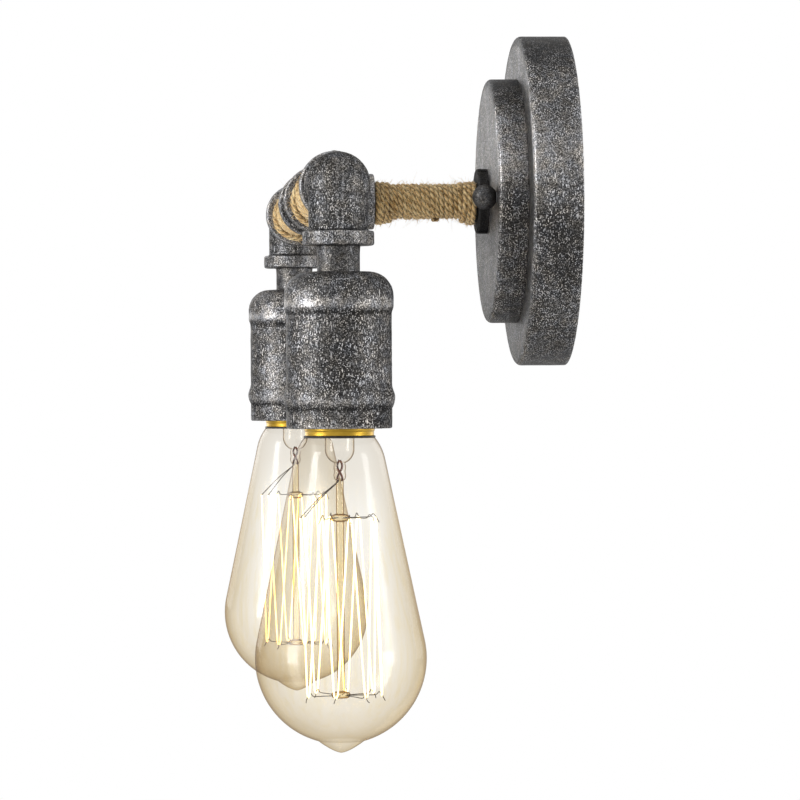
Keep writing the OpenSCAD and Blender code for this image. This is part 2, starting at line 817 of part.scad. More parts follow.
// A flared tube with a round end, pinched round the leads, and a rod with a button for each ring of hooks
module bulb_stem() {
    foot_r = cap_bore_r - 0.35 - glass_t - thread_gap;
    tube_r = 5.5;
    pinch_r = 2.2;
    wall = 0.8;
    button_h = 2;
    flare_l = 8;
    pinch_from = acos(pinch_r / tube_r);
    round_start = pinch_top - tube_r * sin(pinch_from);
    color(clear_glass) on_lamp_axis() difference() {
        rotate_extrude() polygon([
            [foot_r - wall, stem_foot],
            for (i = [0:5]) let (t = i / 5)
                [tube_r + (foot_r - tube_r) * pow(1 - t, 3), stem_foot + flare_l * t],
            each arc([0, round_start], tube_r, 0, pinch_from, 6),
            [pinch_r, pinch_bottom],
            [rod_r, pinch_bottom + 1],
            [rod_r, upper_button - button_h],
            each arc([button_r - 1, upper_button], 1, -90, 90, 4),
            [rod_r, upper_button + button_h],
            [rod_r, lower_button - button_h],
            each arc([button_r - 1, lower_button], 1, -90, 90, 4),
            [0, lower_button + 1],
            each arc([0, round_start], tube_r - wall, 90, 0, 6),
            for (i = [5:-1:1]) let (t = i / 5)
                [tube_r - wall + (foot_r - tube_r) * pow(1 - t, 3), stem_foot + flare_l * t]
        ]);
        for (x = [-1, 1]) translate([x * lead_x, 0, round_start])
            cylinder(d = lead_d + 0.1, h = pinch_bottom + 3 - round_start, $fn = 24);
    }
}

// The hooks go round from one side of the filament's open front to the other. Odd ones are low.
hooks = filament_legs + 1;
hook_step = 360 / (hooks + 1);
filament_front = 101;
function hook_angle(i) = filament_front + hook_step * (i + 1);
function hook_is_low(i) = i % 2 == 1;

module bulb_supports() {
    color(zinc) on_lamp_axis() for (i = [1:hooks - 2]) {
        low = hook_is_low(i);
        r = low ? lower_hook_r : upper_hook_r;
        translate([0, 0, low ? lower_button : upper_button]) rotate([0, 90, hook_angle(i)])
            translate([0, 0, button_r]) cylinder(d = hook_d, h = r - button_r - filament_d / 2, $fn = 24);
    }
}

// The filament zigzags between the hooks, with a small round turn at each
function filament_turn(i) =
    let (
        low = hook_is_low(i),
        r = low ? lower_hook_r : upper_hook_r,
        depth = low ? lower_button : upper_button,
        way = low ? -1 : 1,
        first = i == 0,
        last = i == hooks - 1
    )
    [
        for (k = [first ? 0 : -2:last ? 0 : 2])
            let (a = hook_angle(i) + k * 1.4)
            [r * cos(a), r * sin(a), depth + way * 0.35 * k * k]
    ];

module bulb_filament() {
    path = [for (i = [0:hooks - 1]) each filament_turn(i)];
    outs = [for (p = path) unit([p.x, p.y, 0])];
    color("#ffd97a") on_lamp_axis() swept_tube(path, outs, filament_d, filament_d);
}

// The lead to the contact, and the lead to the cap, each on through the pinch to an end of the filament
function lead_end(i) =
    let (a = hook_angle(i))
    [(upper_hook_r - filament_d) * cos(a), (upper_hook_r - filament_d) * sin(a), upper_button];

module bulb_leads() {
    inside = cap_top + 5;
    out = pinch_bottom + 1.3;
    paths = [
        [[0, 0, cap_top - insulator_h], [0, 0, inside], [-lead_x, 0, inside + 6], [-lead_x, 0, out], lead_end(0)],
        [[cap_bore_r - thread_gap, 0, inside], [cap_bore_r - 1, 0, inside], [lead_x, 0, inside + 8],
            [lead_x, 0, out], lead_end(hooks - 1)]
    ];
    color(zinc) on_lamp_axis() for (path = paths)
        swept_tube(path, [for (p = path) [0, 1, 0]], lead_d, lead_d);
}

/* Drawing */

mounting_bracket();
bracket_studs();
stud_nuts();
ground_screw();
ground_wire();
canopy_pan();
canopy_boss();
wall_collar();
wall_pipe();
pipe_lock_nut();
pipe_lock_washer();
tee();
wall_rope();
wire_connectors();
hot_wires();
neutral_wires();
for (side = SIDES) {
    on_side(side) arm_pipe();
    on_side(side) rope();
    on_side(side) elbow();
    on_side(side) nipple();
    on_side(side) cup();
    on_side(side) cup_nut();
    on_side(side) socket_bridge();
    on_side(side) bridge_screws();
    on_side(side) socket_body();
    on_side(side) screw_shell();
    on_side(side) centre_contact();
    on_side(side) terminal_screws();
    on_side(side) cap_nut();
    on_side(side) bulb_cap();
    on_side(side) bulb_insulator();
    on_side(side) bulb_contact();
    on_side(side) bulb_glass();
    on_side(side) bulb_stem();
    on_side(side) bulb_supports();
    on_side(side) bulb_leads();
    on_side(side) bulb_filament();
}
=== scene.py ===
import math

import bmesh
import bpy
import numpy as np
from mathutils import Matrix, Vector, noise


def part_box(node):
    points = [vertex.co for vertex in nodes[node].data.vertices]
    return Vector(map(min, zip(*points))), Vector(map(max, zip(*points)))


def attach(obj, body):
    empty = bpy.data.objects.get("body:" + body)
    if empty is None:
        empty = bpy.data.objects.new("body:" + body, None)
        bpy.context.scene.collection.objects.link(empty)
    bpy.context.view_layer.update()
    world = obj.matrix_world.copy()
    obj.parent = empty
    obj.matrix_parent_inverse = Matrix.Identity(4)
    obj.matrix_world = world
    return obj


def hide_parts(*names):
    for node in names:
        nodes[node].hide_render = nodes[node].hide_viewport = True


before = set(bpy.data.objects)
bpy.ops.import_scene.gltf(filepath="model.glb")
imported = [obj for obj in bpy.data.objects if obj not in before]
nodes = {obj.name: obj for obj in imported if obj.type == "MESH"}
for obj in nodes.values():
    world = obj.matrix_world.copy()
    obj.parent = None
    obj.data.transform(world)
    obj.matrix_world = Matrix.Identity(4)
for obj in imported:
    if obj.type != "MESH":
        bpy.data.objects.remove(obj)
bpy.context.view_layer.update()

mm = 0.001
chance = np.random.default_rng(4)
scene = bpy.context.scene
SIDES = {"right": 1, "left": -1}
# Axes as (across, up, along), with depth running along: out of the wall, down a lamp, right along the bar
WALL = (Vector((1, 0, 0)), Vector((0, 0, 1)), Vector((0, -1, 0)))
LAMP = (Vector((1, 0, 0)), Vector((0, 1, 0)), Vector((0, 0, -1)))
BAR = (Vector((0, 1, 0)), Vector((0, 0, 1)), Vector((1, 0, 0)))


# Sizes and places, read from the frame

def middle(node):
    low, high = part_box(node)
    return (low + high) / 2


def size(node):
    low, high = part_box(node)
    return high - low


lamp_x = middle("right_cup").x
reach = -middle("right_cup").y
bar_middle = Vector((0, -reach, 0))
lamp_at = {side: Vector((way * lamp_x, -reach, 0)) for side, way in SIDES.items()}
pan_r = size("canopy_pan").x / 2
pan_front = size("canopy_pan").y
boss_r = size("canopy_boss").x / 2
boss_front = -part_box("canopy_boss")[0].y
collar_r = size("wall_collar").x / 2
collar_front = -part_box("wall_collar")[0].y
wall_pipe_r = size("wall_pipe").x / 2
arm_pipe_r = size("right_arm_pipe").y / 2
nipple_r = size("right_nipple").x / 2
fitting_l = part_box("tee")[1].x
bead_r = size("tee").z / 2
stud_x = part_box("bracket_studs")[1].x - size("bracket_studs").z / 2
stud_r = size("bracket_studs").z / 2
cup_top = -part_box("right_cup")[1].z
cup_rim = -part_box("right_cup")[0].z
swell_r = size("right_cup").x / 2
cap_rim = -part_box("right_bulb_cap")[0].z
cap_top = -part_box("right_bulb_cap")[1].z
cap_r = size("right_bulb_cap").x / 2
glass_r = size("right_bulb_glass").x / 2
glass_tip = -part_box("right_bulb_glass")[0].z
stem_foot = -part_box("right_bulb_glass")[1].z
# The depths of the hooks' two rings, at the middle of the CAD's wires
cad_hook_d = 0.5 * mm
upper_ring = -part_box("right_bulb_supports")[1].z + cad_hook_d / 2
lower_ring = -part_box("right_bulb_supports")[0].z - cad_hook_d / 2


# Meshes

def linked(name, data):
    made = bpy.data.objects.new(name, data)
    scene.collection.objects.link(made)
    return made


def new_object(name, points, faces):
    mesh = bpy.data.meshes.new(name)
    mesh.from_pydata([tuple(p) for p in points], [], [tuple(f) for f in faces])
    mesh.shade_smooth()
    return linked(name, mesh)


def arc(r, depth, radius, start, end, steps):
    """Points on a circle round (r, depth). Angle 0 is outwards, and a quarter turn is deeper."""
    angles = [start + (end - start) * k / steps for k in range(steps + 1)]
    return [(r + radius * math.cos(a), depth + radius * math.sin(a)) for a in angles]


def rounded(corners):
    """The closed outline through (radius, depth, rounding) corners, with an arc at each that has a rounding."""
    steps = 5
    points = []
    for i, (r, depth, rounding) in enumerate(corners):
        here = Vector((r, depth))
        if not rounding:
            points.append(here)
            continue
        before = (Vector(corners[i - 1][:2]) - here).normalized()
        after = (Vector(corners[(i + 1) % len(corners)][:2]) - here).normalized()
        half = before.angle(after) / 2
        centre = here + (before + after).normalized() * rounding / math.sin(half)
        cut = rounding / math.tan(half)
        start, end = here + before * cut - centre, here + after * cut - centre
        turn = math.pi - 2 * half
        for k in range(steps + 1):
            t = k / steps
            points.append(centre + (start * math.sin((1 - t) * turn) + end * math.sin(t * turn)) / math.sin(turn))
    return points


def finely(outline, step, closed=True):
    """The same outline with no stretch of it longer than step."""
    outline = [Vector(p) for p in outline]
    points = []
    for i, here in enumerate(outline if closed else outline[:-1]):
        after = outline[(i + 1) % len(outline)]
        pieces = max(1, math.ceil((after - here).length / step))
        points += [here.lerp(after, k / pieces) for k in range(pieces)]
    return points if closed else points + [outline[-1]]


def lathe(name, outline, centre, axes, segments, closed=True, shape=None):
    """The outline turned round an axis. shape(radius, depth, angle) may change the radius."""
    across, up, along = (np.array(a) for a in axes)
    outline = [Vector((max(p[0], 0.0), p[1])) for p in outline]
    on_axis = 1e-7
    points, rings = [], []
    for r, depth in outline:
        if r < on_axis:
            rings.append([len(points)] * segments)
            points.append(np.array(centre) + depth * along)
            continue
        rings.append(list(range(len(points), len(points) + segments)))
        for k in range(segments):
            a = 2 * math.pi * k / segments
            out = shape(r, depth, a) if shape else r
            points.append(np.array(centre) + out * (math.cos(a) * across + math.sin(a) * up) + depth * along)
    faces = []
    for i in range(len(rings) if closed else len(rings) - 1):
        a, b = rings[i], rings[(i + 1) % len(rings)]
        for k in range(segments):
            m = (k + 1) % segments
            face = list(dict.fromkeys([a[k], a[m], b[m], b[k]]))
            if len(face) > 2:
                faces.append(face)
    made = new_object(name, points, faces)
    outward(made.data)
    return made


def unit(v):
    return v / np.linalg.norm(v, axis=-1, keepdims=True)


def eased(t):
    t = np.clip(t, 0, 1)
    return t * t * (3 - 2 * t)


def curved(points, steps):
    """A smooth path through the points."""
    p = np.array(points, float)
    p = np.concatenate([[2 * p[0] - p[1]], p, [2 * p[-1] - p[-2]]])
    path = []
    for i in range(1, len(p) - 2):
        a, b, c, d = p[i - 1:i + 3]
        for t in np.arange(steps) / steps:
            path.append(b + 0.5 * ((c - a) * t + (2 * a - 5 * b + 4 * c - d) * t ** 2
                                   + (3 * b - a - 3 * c + d) * t ** 3))
    return np.array(path + [p[-2]])


def wires(name, paths, radius, sides=8):
    """Round wires along paths, as one object."""
    askew = (0.31, 0.52, 0.79)
    points, faces = [], []
    turn = 2 * np.pi * np.arange(sides) / sides
    for path in paths:
        along = unit(np.gradient(path, axis=0))
        side = np.cross(along[0], askew)
        first = len(points)
        for at, way in zip(path, along):
            side = unit(side - way * side.dot(way))
            points += list(at + radius * (np.cos(turn)[:, None] * side + np.sin(turn)[:, None] * np.cross(way, side)))
        for a in range(first, len(points) - sides, sides):
            faces += [(a + k, a + (k + 1) % sides, a + sides + (k + 1) % sides, a + sides + k) for k in range(sides)]
        faces += [tuple(range(first, first + sides)), tuple(range(len(points) - sides, len(points)))]
    made = new_object(name, points, faces)
    outward(made.data)
    return made


def outward(mesh):
    """Turns the mesh's faces outwards."""
    work = bmesh.new()
    work.from_mesh(mesh)
    bmesh.ops.recalc_face_normals(work, faces=work.faces)
    work.to_mesh(mesh)
    work.free()


def apply_modifiers(made):
    bpy.context.view_layer.update()
    graph = bpy.context.evaluated_depsgraph_get()
    mesh = bpy.data.meshes.new_from_object(made.evaluated_get(graph))
    made.modifiers.clear()
    old, made.data = made.data, mesh
    bpy.data.meshes.remove(old)
    mesh.name = made.name


def triples(items, key):
    """The three numbers that each item has under a key, as an array."""
    flat = np.zeros(len(items) * 3)
    items.foreach_get(key, flat)
    return flat.reshape(-1, 3)


def move_out(mesh, distances):
    moved = triples(mesh.vertices, "co") + triples(mesh.vertex_normals, "vector") * distances[:, None]
    mesh.vertices.foreach_set("co", moved.ravel())
    mesh.update()


def uneven(mesh, amount, scale):
    """Moves the surface in and out by up to about amount, as on a sand casting."""
    lumps = [noise.noise(v.co * scale) + 0.5 * noise.noise(v.co * scale * 2.3) for v in mesh.vertices]
    move_out(mesh, amount * np.array(lumps))


def give_wear_and_light(mesh, full=0.7 * mm, more=None):
    """An attribute that is 1 on edges that hands and polishing rub bright, 0 where the surface is flat, and less where
    grime stays. An edge of the radius full is rubbed fully. more gives what is added at each point, which on the
    canopy's rims and on the cups is painted highlight and painted shade."""
    shortest, sharpest, limit, spread = 0.02 * mm, 2, 1.2, 4
    co, normals = triples(mesh.vertices, "co"), triples(mesh.vertex_normals, "vector")
    edges = np.zeros(len(mesh.edges) * 2, int)
    mesh.edges.foreach_get("vertices", edges)
    a, b = edges.reshape(-1, 2).T
    count = np.bincount(np.concatenate([a, b]), minlength=len(co)).astype(float)
    count[count == 0] = 1
    between = co[b] - co[a]
    square = np.maximum((between ** 2).sum(1), shortest ** 2)
    bend = np.zeros(len(co))
    for end, twice in ((a, -2), (b, 2)):
        np.add.at(bend, end, np.clip(twice * (between * normals[end]).sum(1) / square * full, -sharpest, sharpest))
    bend /= count
    for _ in range(spread):
        total = np.bincount(a, bend[b], len(co)) + np.bincount(b, bend[a], len(co))
        bend = 0.5 * bend + 0.5 * total / count
    wear_and_light = np.clip(bend + (more(co) if more else 0), -limit, limit)
    mesh.attributes.new("wear_and_light", "FLOAT", "POINT").data.foreach_set("value", wear_and_light.astype(np.float32))


def piece(made, material, body, slot, *stands_for):
    made.data.materials.clear()
    made.data.materials.append(material)
    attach(made, body)
    if stands_for:
        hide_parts(*stands_for)


# Materials

def rgba(colour):
    """A grey, a colour or another node's output, as a colour input takes it."""
    if isinstance(colour, bpy.types.NodeSocket):
        return colour
    return (*colour, 1) if hasattr(colour, "__len__") else (colour, colour, colour, 1)


class Nodes:
    """A node tree being built."""

    def __init__(self, tree):
        self.tree = tree
        tree.nodes.clear()

    def add(self, kind, inputs=None, **settings):
        made = self.tree.nodes.new(kind)
        for key, value in settings.items():
            setattr(made, key, value)
        for key, value in (inputs or {}).items():
            if isinstance(value, bpy.types.NodeSocket):
                self.tree.links.new(value, made.inputs[key])
            else:
                made.inputs[key].default_value = value
        return made

    def math(self, operation, a, b, clamp=False):
        return self.add("ShaderNodeMath", {0: a, 1: b}, operation=operation, use_clamp=clamp).outputs[0]

    def shaders(self, share, a, b):
        return self.add("ShaderNodeMixShader", {0: share, 1: a.outputs[0], 2: b.outputs[0]})

    def seen(self):
        """1 for rays from the camera, in a reflection or through glass, and 0 for light that falls on things."""
        rays = self.add("ShaderNodeLightPath").outputs
        seen = self.math("MAXIMUM", rays["Is Camera Ray"], rays["Is Glossy Ray"])
        return self.math("MAXIMUM", seen, rays["Is Transmission Ray"])


class Surface(Nodes):
    """A material being built."""

    def __init__(self, name):
        self.material = bpy.data.materials.new(name)
        self.material.use_nodes = True
        super().__init__(self.material.node_tree)
        self.place = self.add("ShaderNodeTexCoord").outputs["Object"]

    def noise(self, scale, detail=2.0, roughness=0.5, distortion=0.0, place=None):
        return self.add("ShaderNodeTexNoise", {
            "Vector": place or self.place, "Scale": scale, "Detail": detail,
            "Roughness": roughness, "Distortion": distortion,
        }).outputs["Fac"]

    def cells(self, scale, place=None):
        return self.add("ShaderNodeTexVoronoi", {"Vector": place or self.place, "Scale": scale}).outputs["Distance"]

    def scaled(self, scale, place=None, turned=(0, 0, 0)):
        return self.add("ShaderNodeMapping", {
            "Vector": place or self.place, "Rotation": turned, "Scale": scale,
        }).outputs[0]

    def varied(self, base, value, amount):
        """The base, moved by amount times what value has over 0.5."""
        return self.math("ADD", base, self.math("MULTIPLY", self.math("SUBTRACT", value, 0.5), amount))

    def attribute(self, name, output="Fac"):
        return self.add("ShaderNodeAttribute", attribute_name=name).outputs[output]

    def ramp(self, value, stops):
        made = self.add("ShaderNodeValToRGB", {"Fac": value})
        elements = made.color_ramp.elements
        while len(elements) < len(stops):
            elements.new(0.5)
        for element, (at, colour) in zip(elements, stops):
            element.position = at
            element.color = rgba(colour)
        return made.outputs["Color"]

    def fade(self, value, low, high):
        """From low to high over the middle of a value's range."""
        return self.ramp(value, [(0.3, low), (0.7, high)])

    def mix(self, factor, a, b, blend="MIX"):
        return self.add("ShaderNodeMix", {0: factor, 6: rgba(a), 7: rgba(b)}, data_type="RGBA",
                        blend_type=blend).outputs[2]

    def bump(self, height, distance):
        return self.add("ShaderNodeBump", {"Height": height, "Distance": distance, "Strength": 1.0}).outputs[0]

    def principled(self, **inputs):
        return self.done(self.add("ShaderNodeBsdfPrincipled", {
            key.replace("_", " "): value for key, value in inputs.items()
        }))

    def done(self, shader):
        self.add("ShaderNodeOutputMaterial", {"Surface": shader.outputs[0]})
        return self.material


def aged_silver(name, flecks, lift, rough, edge, with_wear_and_light=True):
    """A dark cast finish with fine bright flecks where it was rubbed back, brighter where hands and polishing reach
    and where highlights are painted in with the wear, and darker where shade is painted in with it. flecks is how much
    the flecks show, lift how much lighter the whole is, rough the strength of its grain, and edge how much light it
    mirrors at a low angle."""
    s = Surface(name)
    grain = s.varied(0.5, s.noise(2100, 3, 0.6, 0.4), 1.15 * rough)
    value = s.math("ADD", s.varied(grain, s.noise(42, 3, 0.6), 0.34), lift)
    leaning = s.scaled((1.0, 1.0, 0.3), turned=(0.6, 0.7, 0.4))
    crossing = s.scaled((1.0, 1.0, 0.12), turned=(-0.7, 0.5, 1.2))
    specks = s.ramp(s.cells(1400), [(0.17, 1), (0.34, 0)])
    dashes = s.ramp(s.cells(1350, leaning), [(0.14, 1), (0.30, 0)])
    scratches = s.ramp(s.cells(340, crossing), [(0.05, 0.9), (0.09, 0)])
    where = s.ramp(s.noise(190, 2, 0.6), [(0.38, 0.35), (0.60, 1)])
    rubbed = s.math("MULTIPLY", s.math("MAXIMUM", specks, dashes), where)
    rubbed = s.math("MAXIMUM", rubbed, scratches)
    if with_wear_and_light:
        # The attribute lightens the tone on rubbed edges, and on some pieces it also holds painted highlights and
        # painted shade
        wear_and_light = s.attribute("wear_and_light")
        value = s.math("ADD", value, s.math("MULTIPLY", wear_and_light, 0.16))
        rubbed = s.math("MULTIPLY", rubbed, s.math("ADD", s.math("MULTIPLY", wear_and_light, 0.55), 1.0, clamp=True))
    tone = s.ramp(value, [(0.34, 0.016), (0.50, 0.052), (0.58, 0.105), (0.68, 0.25), (0.80, 0.50)])
    tone = s.mix(s.math("MULTIPLY", rubbed, 0.9 * flecks), tone, (0.80, 0.80, 0.80))
    warm = s.ramp(s.noise(210, 3, 0.6), [(0.35, (0.97, 0.98, 1.03)), (0.65, (1.07, 1.0, 0.92))])
    height = s.math("ADD", s.math("MULTIPLY", grain, 0.6), s.math("MULTIPLY", rubbed, 0.4))
    return s.principled(
        Base_Color=s.mix(1.0, tone, warm, "MULTIPLY"),
        Metallic=0.85,
        Specular_IOR_Level=0.2,
        Specular_Tint=rgba(edge),
        Roughness=s.ramp(value, [(0.4, 0.50), (0.7, 0.32)]),
        Normal=s.bump(height, 0.12 * mm),
    )


def steel(name, colour, fleck=260):
    """Zinc-plated steel: bright, with the faint spangle and dull spots of plating."""
    s = Surface(name)
    spangle = s.noise(fleck, 4, 0.6)
    return s.principled(
        Base_Color=s.fade(spangle, [c * 0.72 for c in colour], colour),
        Metallic=1.0,
        Roughness=s.fade(spangle, 0.5, 0.3),
        Normal=s.bump(s.noise(900, 3), 0.03 * mm),
    )


def brass(name):
    """Rolled brass with warm and cool patches."""
    s = Surface(name)
    patches = s.noise(120, 4, 0.6)
    rolled = s.noise(1.0, 3, 0.6, place=s.scaled((160, 160, 2600)))
    patched = s.fade(patches, (0.28, 0.165, 0.020), (0.65, 0.415, 0.056))
    lined = s.fade(rolled, (0.30, 0.180, 0.022), (0.60, 0.390, 0.054))
    return s.principled(
        Base_Color=s.mix(0.5, patched, lined),
        Metallic=1.0,
        Roughness=s.fade(patches, 0.46, 0.33),
        Normal=s.bump(rolled, 0.02 * mm),
    )


def plastic(name, colour, rough=0.42, coat=0.0):
    """Moulded or extruded plastic, or a glaze, with faint mottling."""
    s = Surface(name)
    mottle = s.noise(180, 3, 0.6)
    return s.principled(
        Base_Color=s.fade(mottle, [c * 0.86 for c in colour], colour),
        Roughness=s.fade(mottle, rough + 0.08, rough),
        Coat_Weight=coat,
        Normal=s.bump(s.noise(700, 2), 0.03 * mm),
    )


def jute(name, pale):
    """Twisted jute: streaks of straw and brown along each strand, with painted shade in the creases."""
    s = Surface(name)
    strand = s.attribute("strand", "Vector")
    streaks = s.noise(1.0, 4, 0.7, place=s.scaled((0.7, 4.0, 4.0), strand))
    patches = s.noise(1.0, 2, 0.5, place=s.scaled((0.07, 0.2, 0.2), strand))
    value = s.varied(s.varied(0.5, streaks, 2.2), patches, 0.7)
    tone = s.ramp(s.math("ADD", value, pale), [
        (0.28, (0.24, 0.118, 0.032)), (0.42, (0.65, 0.394, 0.141)),
        (0.52, (0.90, 0.600, 0.252)), (0.68, (0.97, 0.800, 0.470)),
    ])
    # Painted shade in the creases between the plies and between the turns
    tone = s.mix(s.math("MULTIPLY", s.attribute("crease_shade"), 0.9), tone, (0.08, 0.042, 0.015))
    return s.principled(
        Base_Color=tone,
        Roughness=s.fade(streaks, 0.95, 0.78),
        Specular_IOR_Level=0.25,
        Sheen_Weight=0.25,
        Sheen_Roughness=0.5,
        Normal=s.bump(streaks, 0.16 * mm),
    )


def lamp_glass(name, looks, band, line, coat=0.0):
    """One thin wall of glass that lets light straight through. looks gives, for depths down the lamp, how it tints the
    light face on, in the band inside its outline, and at the outline. band and line say how far it has turned away
    where these start and where they are full. coat is the strength of the streaks that run down a tinted bulb."""
    s = Surface(name)
    facing = s.add("ShaderNodeLayerWeight", {"Blend": 0.5}).outputs["Facing"]
    streaks = s.noise(26, 2, 0.5)
    height = s.add("ShaderNodeSeparateXYZ", {0: s.place}).outputs["Z"]
    depth = s.varied(s.math("MULTIPLY", height, -1.0), streaks, 12 * mm)
    shallow, deep = looks[0][0], looks[-1][0]
    down = s.add("ShaderNodeMapRange", {"Value": depth, "From Min": shallow, "From Max": deep}).outputs[0]

    def along(which):
        return s.ramp(down, [((look[0] - shallow) / (deep - shallow), look[which]) for look in looks])

    turned = s.ramp(facing, [(band[0], 0), ((band[0] + band[1]) / 2, 0.4), (band[1], 1)])
    edge = s.ramp(facing, [(line[0], 0), (line[1], 1)])
    tint = s.mix(edge, s.mix(turned, along(1), along(2)), along(3))
    if coat:
        drawn = s.ramp(s.noise(1.0, 3, 0.6, place=s.scaled((380, 380, 1.6))), [(0.46, 0), (0.66, coat)])
        lower = s.ramp(down, [(0.15, 0), (0.35, 1), (0.80, 1), (0.95, 0.3)])
        tint = s.mix(s.math("MULTIPLY", drawn, lower), tint, (0.98, 0.93, 0.76), "MULTIPLY")
    through = s.add("ShaderNodeBsdfTransparent", {"Color": tint})
    shine = s.add("ShaderNodeBsdfGlossy", {
        "Color": rgba(1), "Roughness": s.fade(streaks, 0.10, 0.20),
        "Normal": s.bump(s.noise(60, 2), 0.25 * mm),
    })
    mirror = s.math("ADD", 0.03, s.math("MULTIPLY", s.math("POWER", facing, 5.0), 0.12))
    return s.done(s.shaders(mirror, through, shine))


def glow(name, colour, strength):
    """A glowing wire, a little uneven along its length."""
    s = Surface(name)
    hot = s.noise(300, 2, 0.5)
    return s.principled(
        Base_Color=s.fade(hot, [c * 0.8 for c in colour], colour),
        Roughness=0.6,
        Emission_Color=s.fade(hot, (1.0, 0.62, 0.24), colour),
        Emission_Strength=strength,
    )


silver = aged_silver("aged_silver", 0.9, -0.018, rough=0.95, edge=0.35)
pressed = aged_silver("pressed_silver", 1.0, -0.01, rough=0.95, edge=0.60)
cast = aged_silver("cast_silver", 0.72, -0.032, rough=0.95, edge=0.3)
dark = aged_silver("dark_silver", 0.35, 0.035, rough=0.8, edge=0.3)
nut_silver = aged_silver("nut_silver", 0.15, 0.0, rough=0.5, edge=0.3, with_wear_and_light=False)
black = aged_silver("blackened", 0.05, -0.15, rough=0.6, edge=0.3)
zinc = steel("zinc_steel", (0.46, 0.47, 0.49))
wire_steel = steel("wire_metal", (0.10, 0.085, 0.07), 600)
gold = brass("brass")
solder = steel("solder", (0.55, 0.55, 0.56), 700)
jute_twine = jute("jute_twine", 0.03)
jute_fibre = jute("jute_fibre", 0.14)
ceramic = plastic("porcelain", (0.82, 0.79, 0.72), 0.22, 0.6)
green_paint = plastic("green_screw", (0.045, 0.26, 0.07), 0.35, 0.3)
green_wire = plastic("green_insulation", (0.05, 0.30, 0.08))
black_wire = plastic("black_insulation", (0.022, 0.022, 0.024))
white_wire = plastic("white_insulation", (0.74, 0.73, 0.70))
orange = plastic("orange_plastic", (0.78, 0.20, 0.03), 0.5)
black_glass = plastic("black_glass", (0.012, 0.012, 0.016), 0.12, 0.8)
amber = lamp_glass("amber_glass", [
    (cap_rim, (0.890, 0.870, 0.830), (0.845, 0.810, 0.755), (0.45, 0.38, 0.30)),
    (cap_rim + 14 * mm, (0.918, 0.894, 0.848), (0.840, 0.800, 0.735), (0.60, 0.53, 0.44)),
    (cap_rim + 30 * mm, (0.972, 0.958, 0.925), (0.780, 0.720, 0.615), (0.68, 0.60, 0.48)),
    (cap_rim + 66 * mm, (0.962, 0.938, 0.888), (0.730, 0.655, 0.520), (0.62, 0.53, 0.40)),
    (glass_tip, (0.910, 0.868, 0.790), (0.745, 0.670, 0.535), (0.52, 0.44, 0.32)),
], band=(0.20, 0.72), line=(0.72, 0.88), coat=0.4)
clear_look = ((0.985, 0.980, 0.970), (0.93, 0.90, 0.85), (0.42, 0.33, 0.22))
clear = lamp_glass("clear_glass", [(stem_foot, *clear_look), (glass_tip, *clear_look)],
                   band=(0.30, 0.60), line=(0.56, 0.74))
bead_glass = lamp_glass("bead_glass", [
    (cap_rim, (0.985, 0.955, 0.87), (0.90, 0.80, 0.60), (0.45, 0.32, 0.15)),
    (glass_tip, (0.97, 0.90, 0.72), (0.86, 0.70, 0.42), (0.42, 0.28, 0.12)),
], band=(0.10, 0.50), line=(0.38, 0.62))
red_wire = steel("dark_red_wire", (0.16, 0.055, 0.03), 900)
cement = plastic("cap_cement", (0.018, 0.015, 0.012), 0.55)
filament_glow = glow("glowing_filament", (1.0, 0.86, 0.48), 4.0)

# The CAD's own nodes. Many of them are replaced further down, and then don't show.
CAD_FINISH = {
    "mounting_bracket": zinc, "bracket_studs": zinc, "stud_nuts": zinc, "ground_screw": green_paint,
    "ground_wire": green_wire, "canopy_pan": silver, "canopy_boss": silver,
    "wall_collar": black, "wall_pipe": zinc, "pipe_lock_nut": zinc, "pipe_lock_washer": zinc,
    "tee": silver, "wall_rope": jute_twine, "wire_connectors": orange,
    "hot_wires": black_wire, "neutral_wires": white_wire,
}
SIDE_FINISH = {
    "arm_pipe": zinc, "rope": jute_twine, "elbow": silver, "nipple": dark, "cup": silver,
    "cup_nut": zinc, "socket_bridge": zinc, "bridge_screws": zinc, "socket_body": ceramic,
    "screw_shell": gold, "centre_contact": gold, "terminal_screws": gold, "cap_nut": nut_silver,
    "bulb_cap": gold, "bulb_insulator": black_glass, "bulb_contact": solder, "bulb_glass": amber,
    "bulb_stem": clear, "bulb_supports": wire_steel, "bulb_leads": wire_steel,
    "bulb_filament": filament_glow,
}
CAD_FINISH.update({f"{side}_{name}": look for side in SIDES for name, look in SIDE_FINISH.items()})
for name, cad in nodes.items():
    for place in cad.material_slots:
        place.material = CAD_FINISH[name]


# Canopy

def metal(made, *stands_for, material=silver, lumps=0.04 * mm, lump_scale=420, slot="aged_silver", full=0.7 * mm,
          more=None):
    """Makes a turned shape a worn piece of the fixture, with the painted highlights and painted shade that more gives.
    """
    uneven(made.data, lumps, lump_scale)
    give_wear_and_light(made.data, full, more=more)
    piece(made, material, "fixture", slot, *stands_for)


def cut(made, *tools):
    """Takes the tools' volumes out of an object, and deletes them."""
    for tool in tools:
        change = made.modifiers.new("cut", "BOOLEAN")
        change.operation, change.object, change.solver = "DIFFERENCE", tool, "EXACT"
    apply_modifiers(made)
    for tool in tools:
        bpy.data.objects.remove(tool)
    return made


def drill(r, centre, axes, start, end):
    return lathe("drill", [(0, start), (r, start), (r, end), (0, end)], centre, axes, 48, closed=False)


sheet = 1.5 * mm
rim_edge = 2 * mm
gap = 0.05 * mm
hole_r = wall_pipe_r + gap
stud_hole_r = stud_r + 0.3 * mm


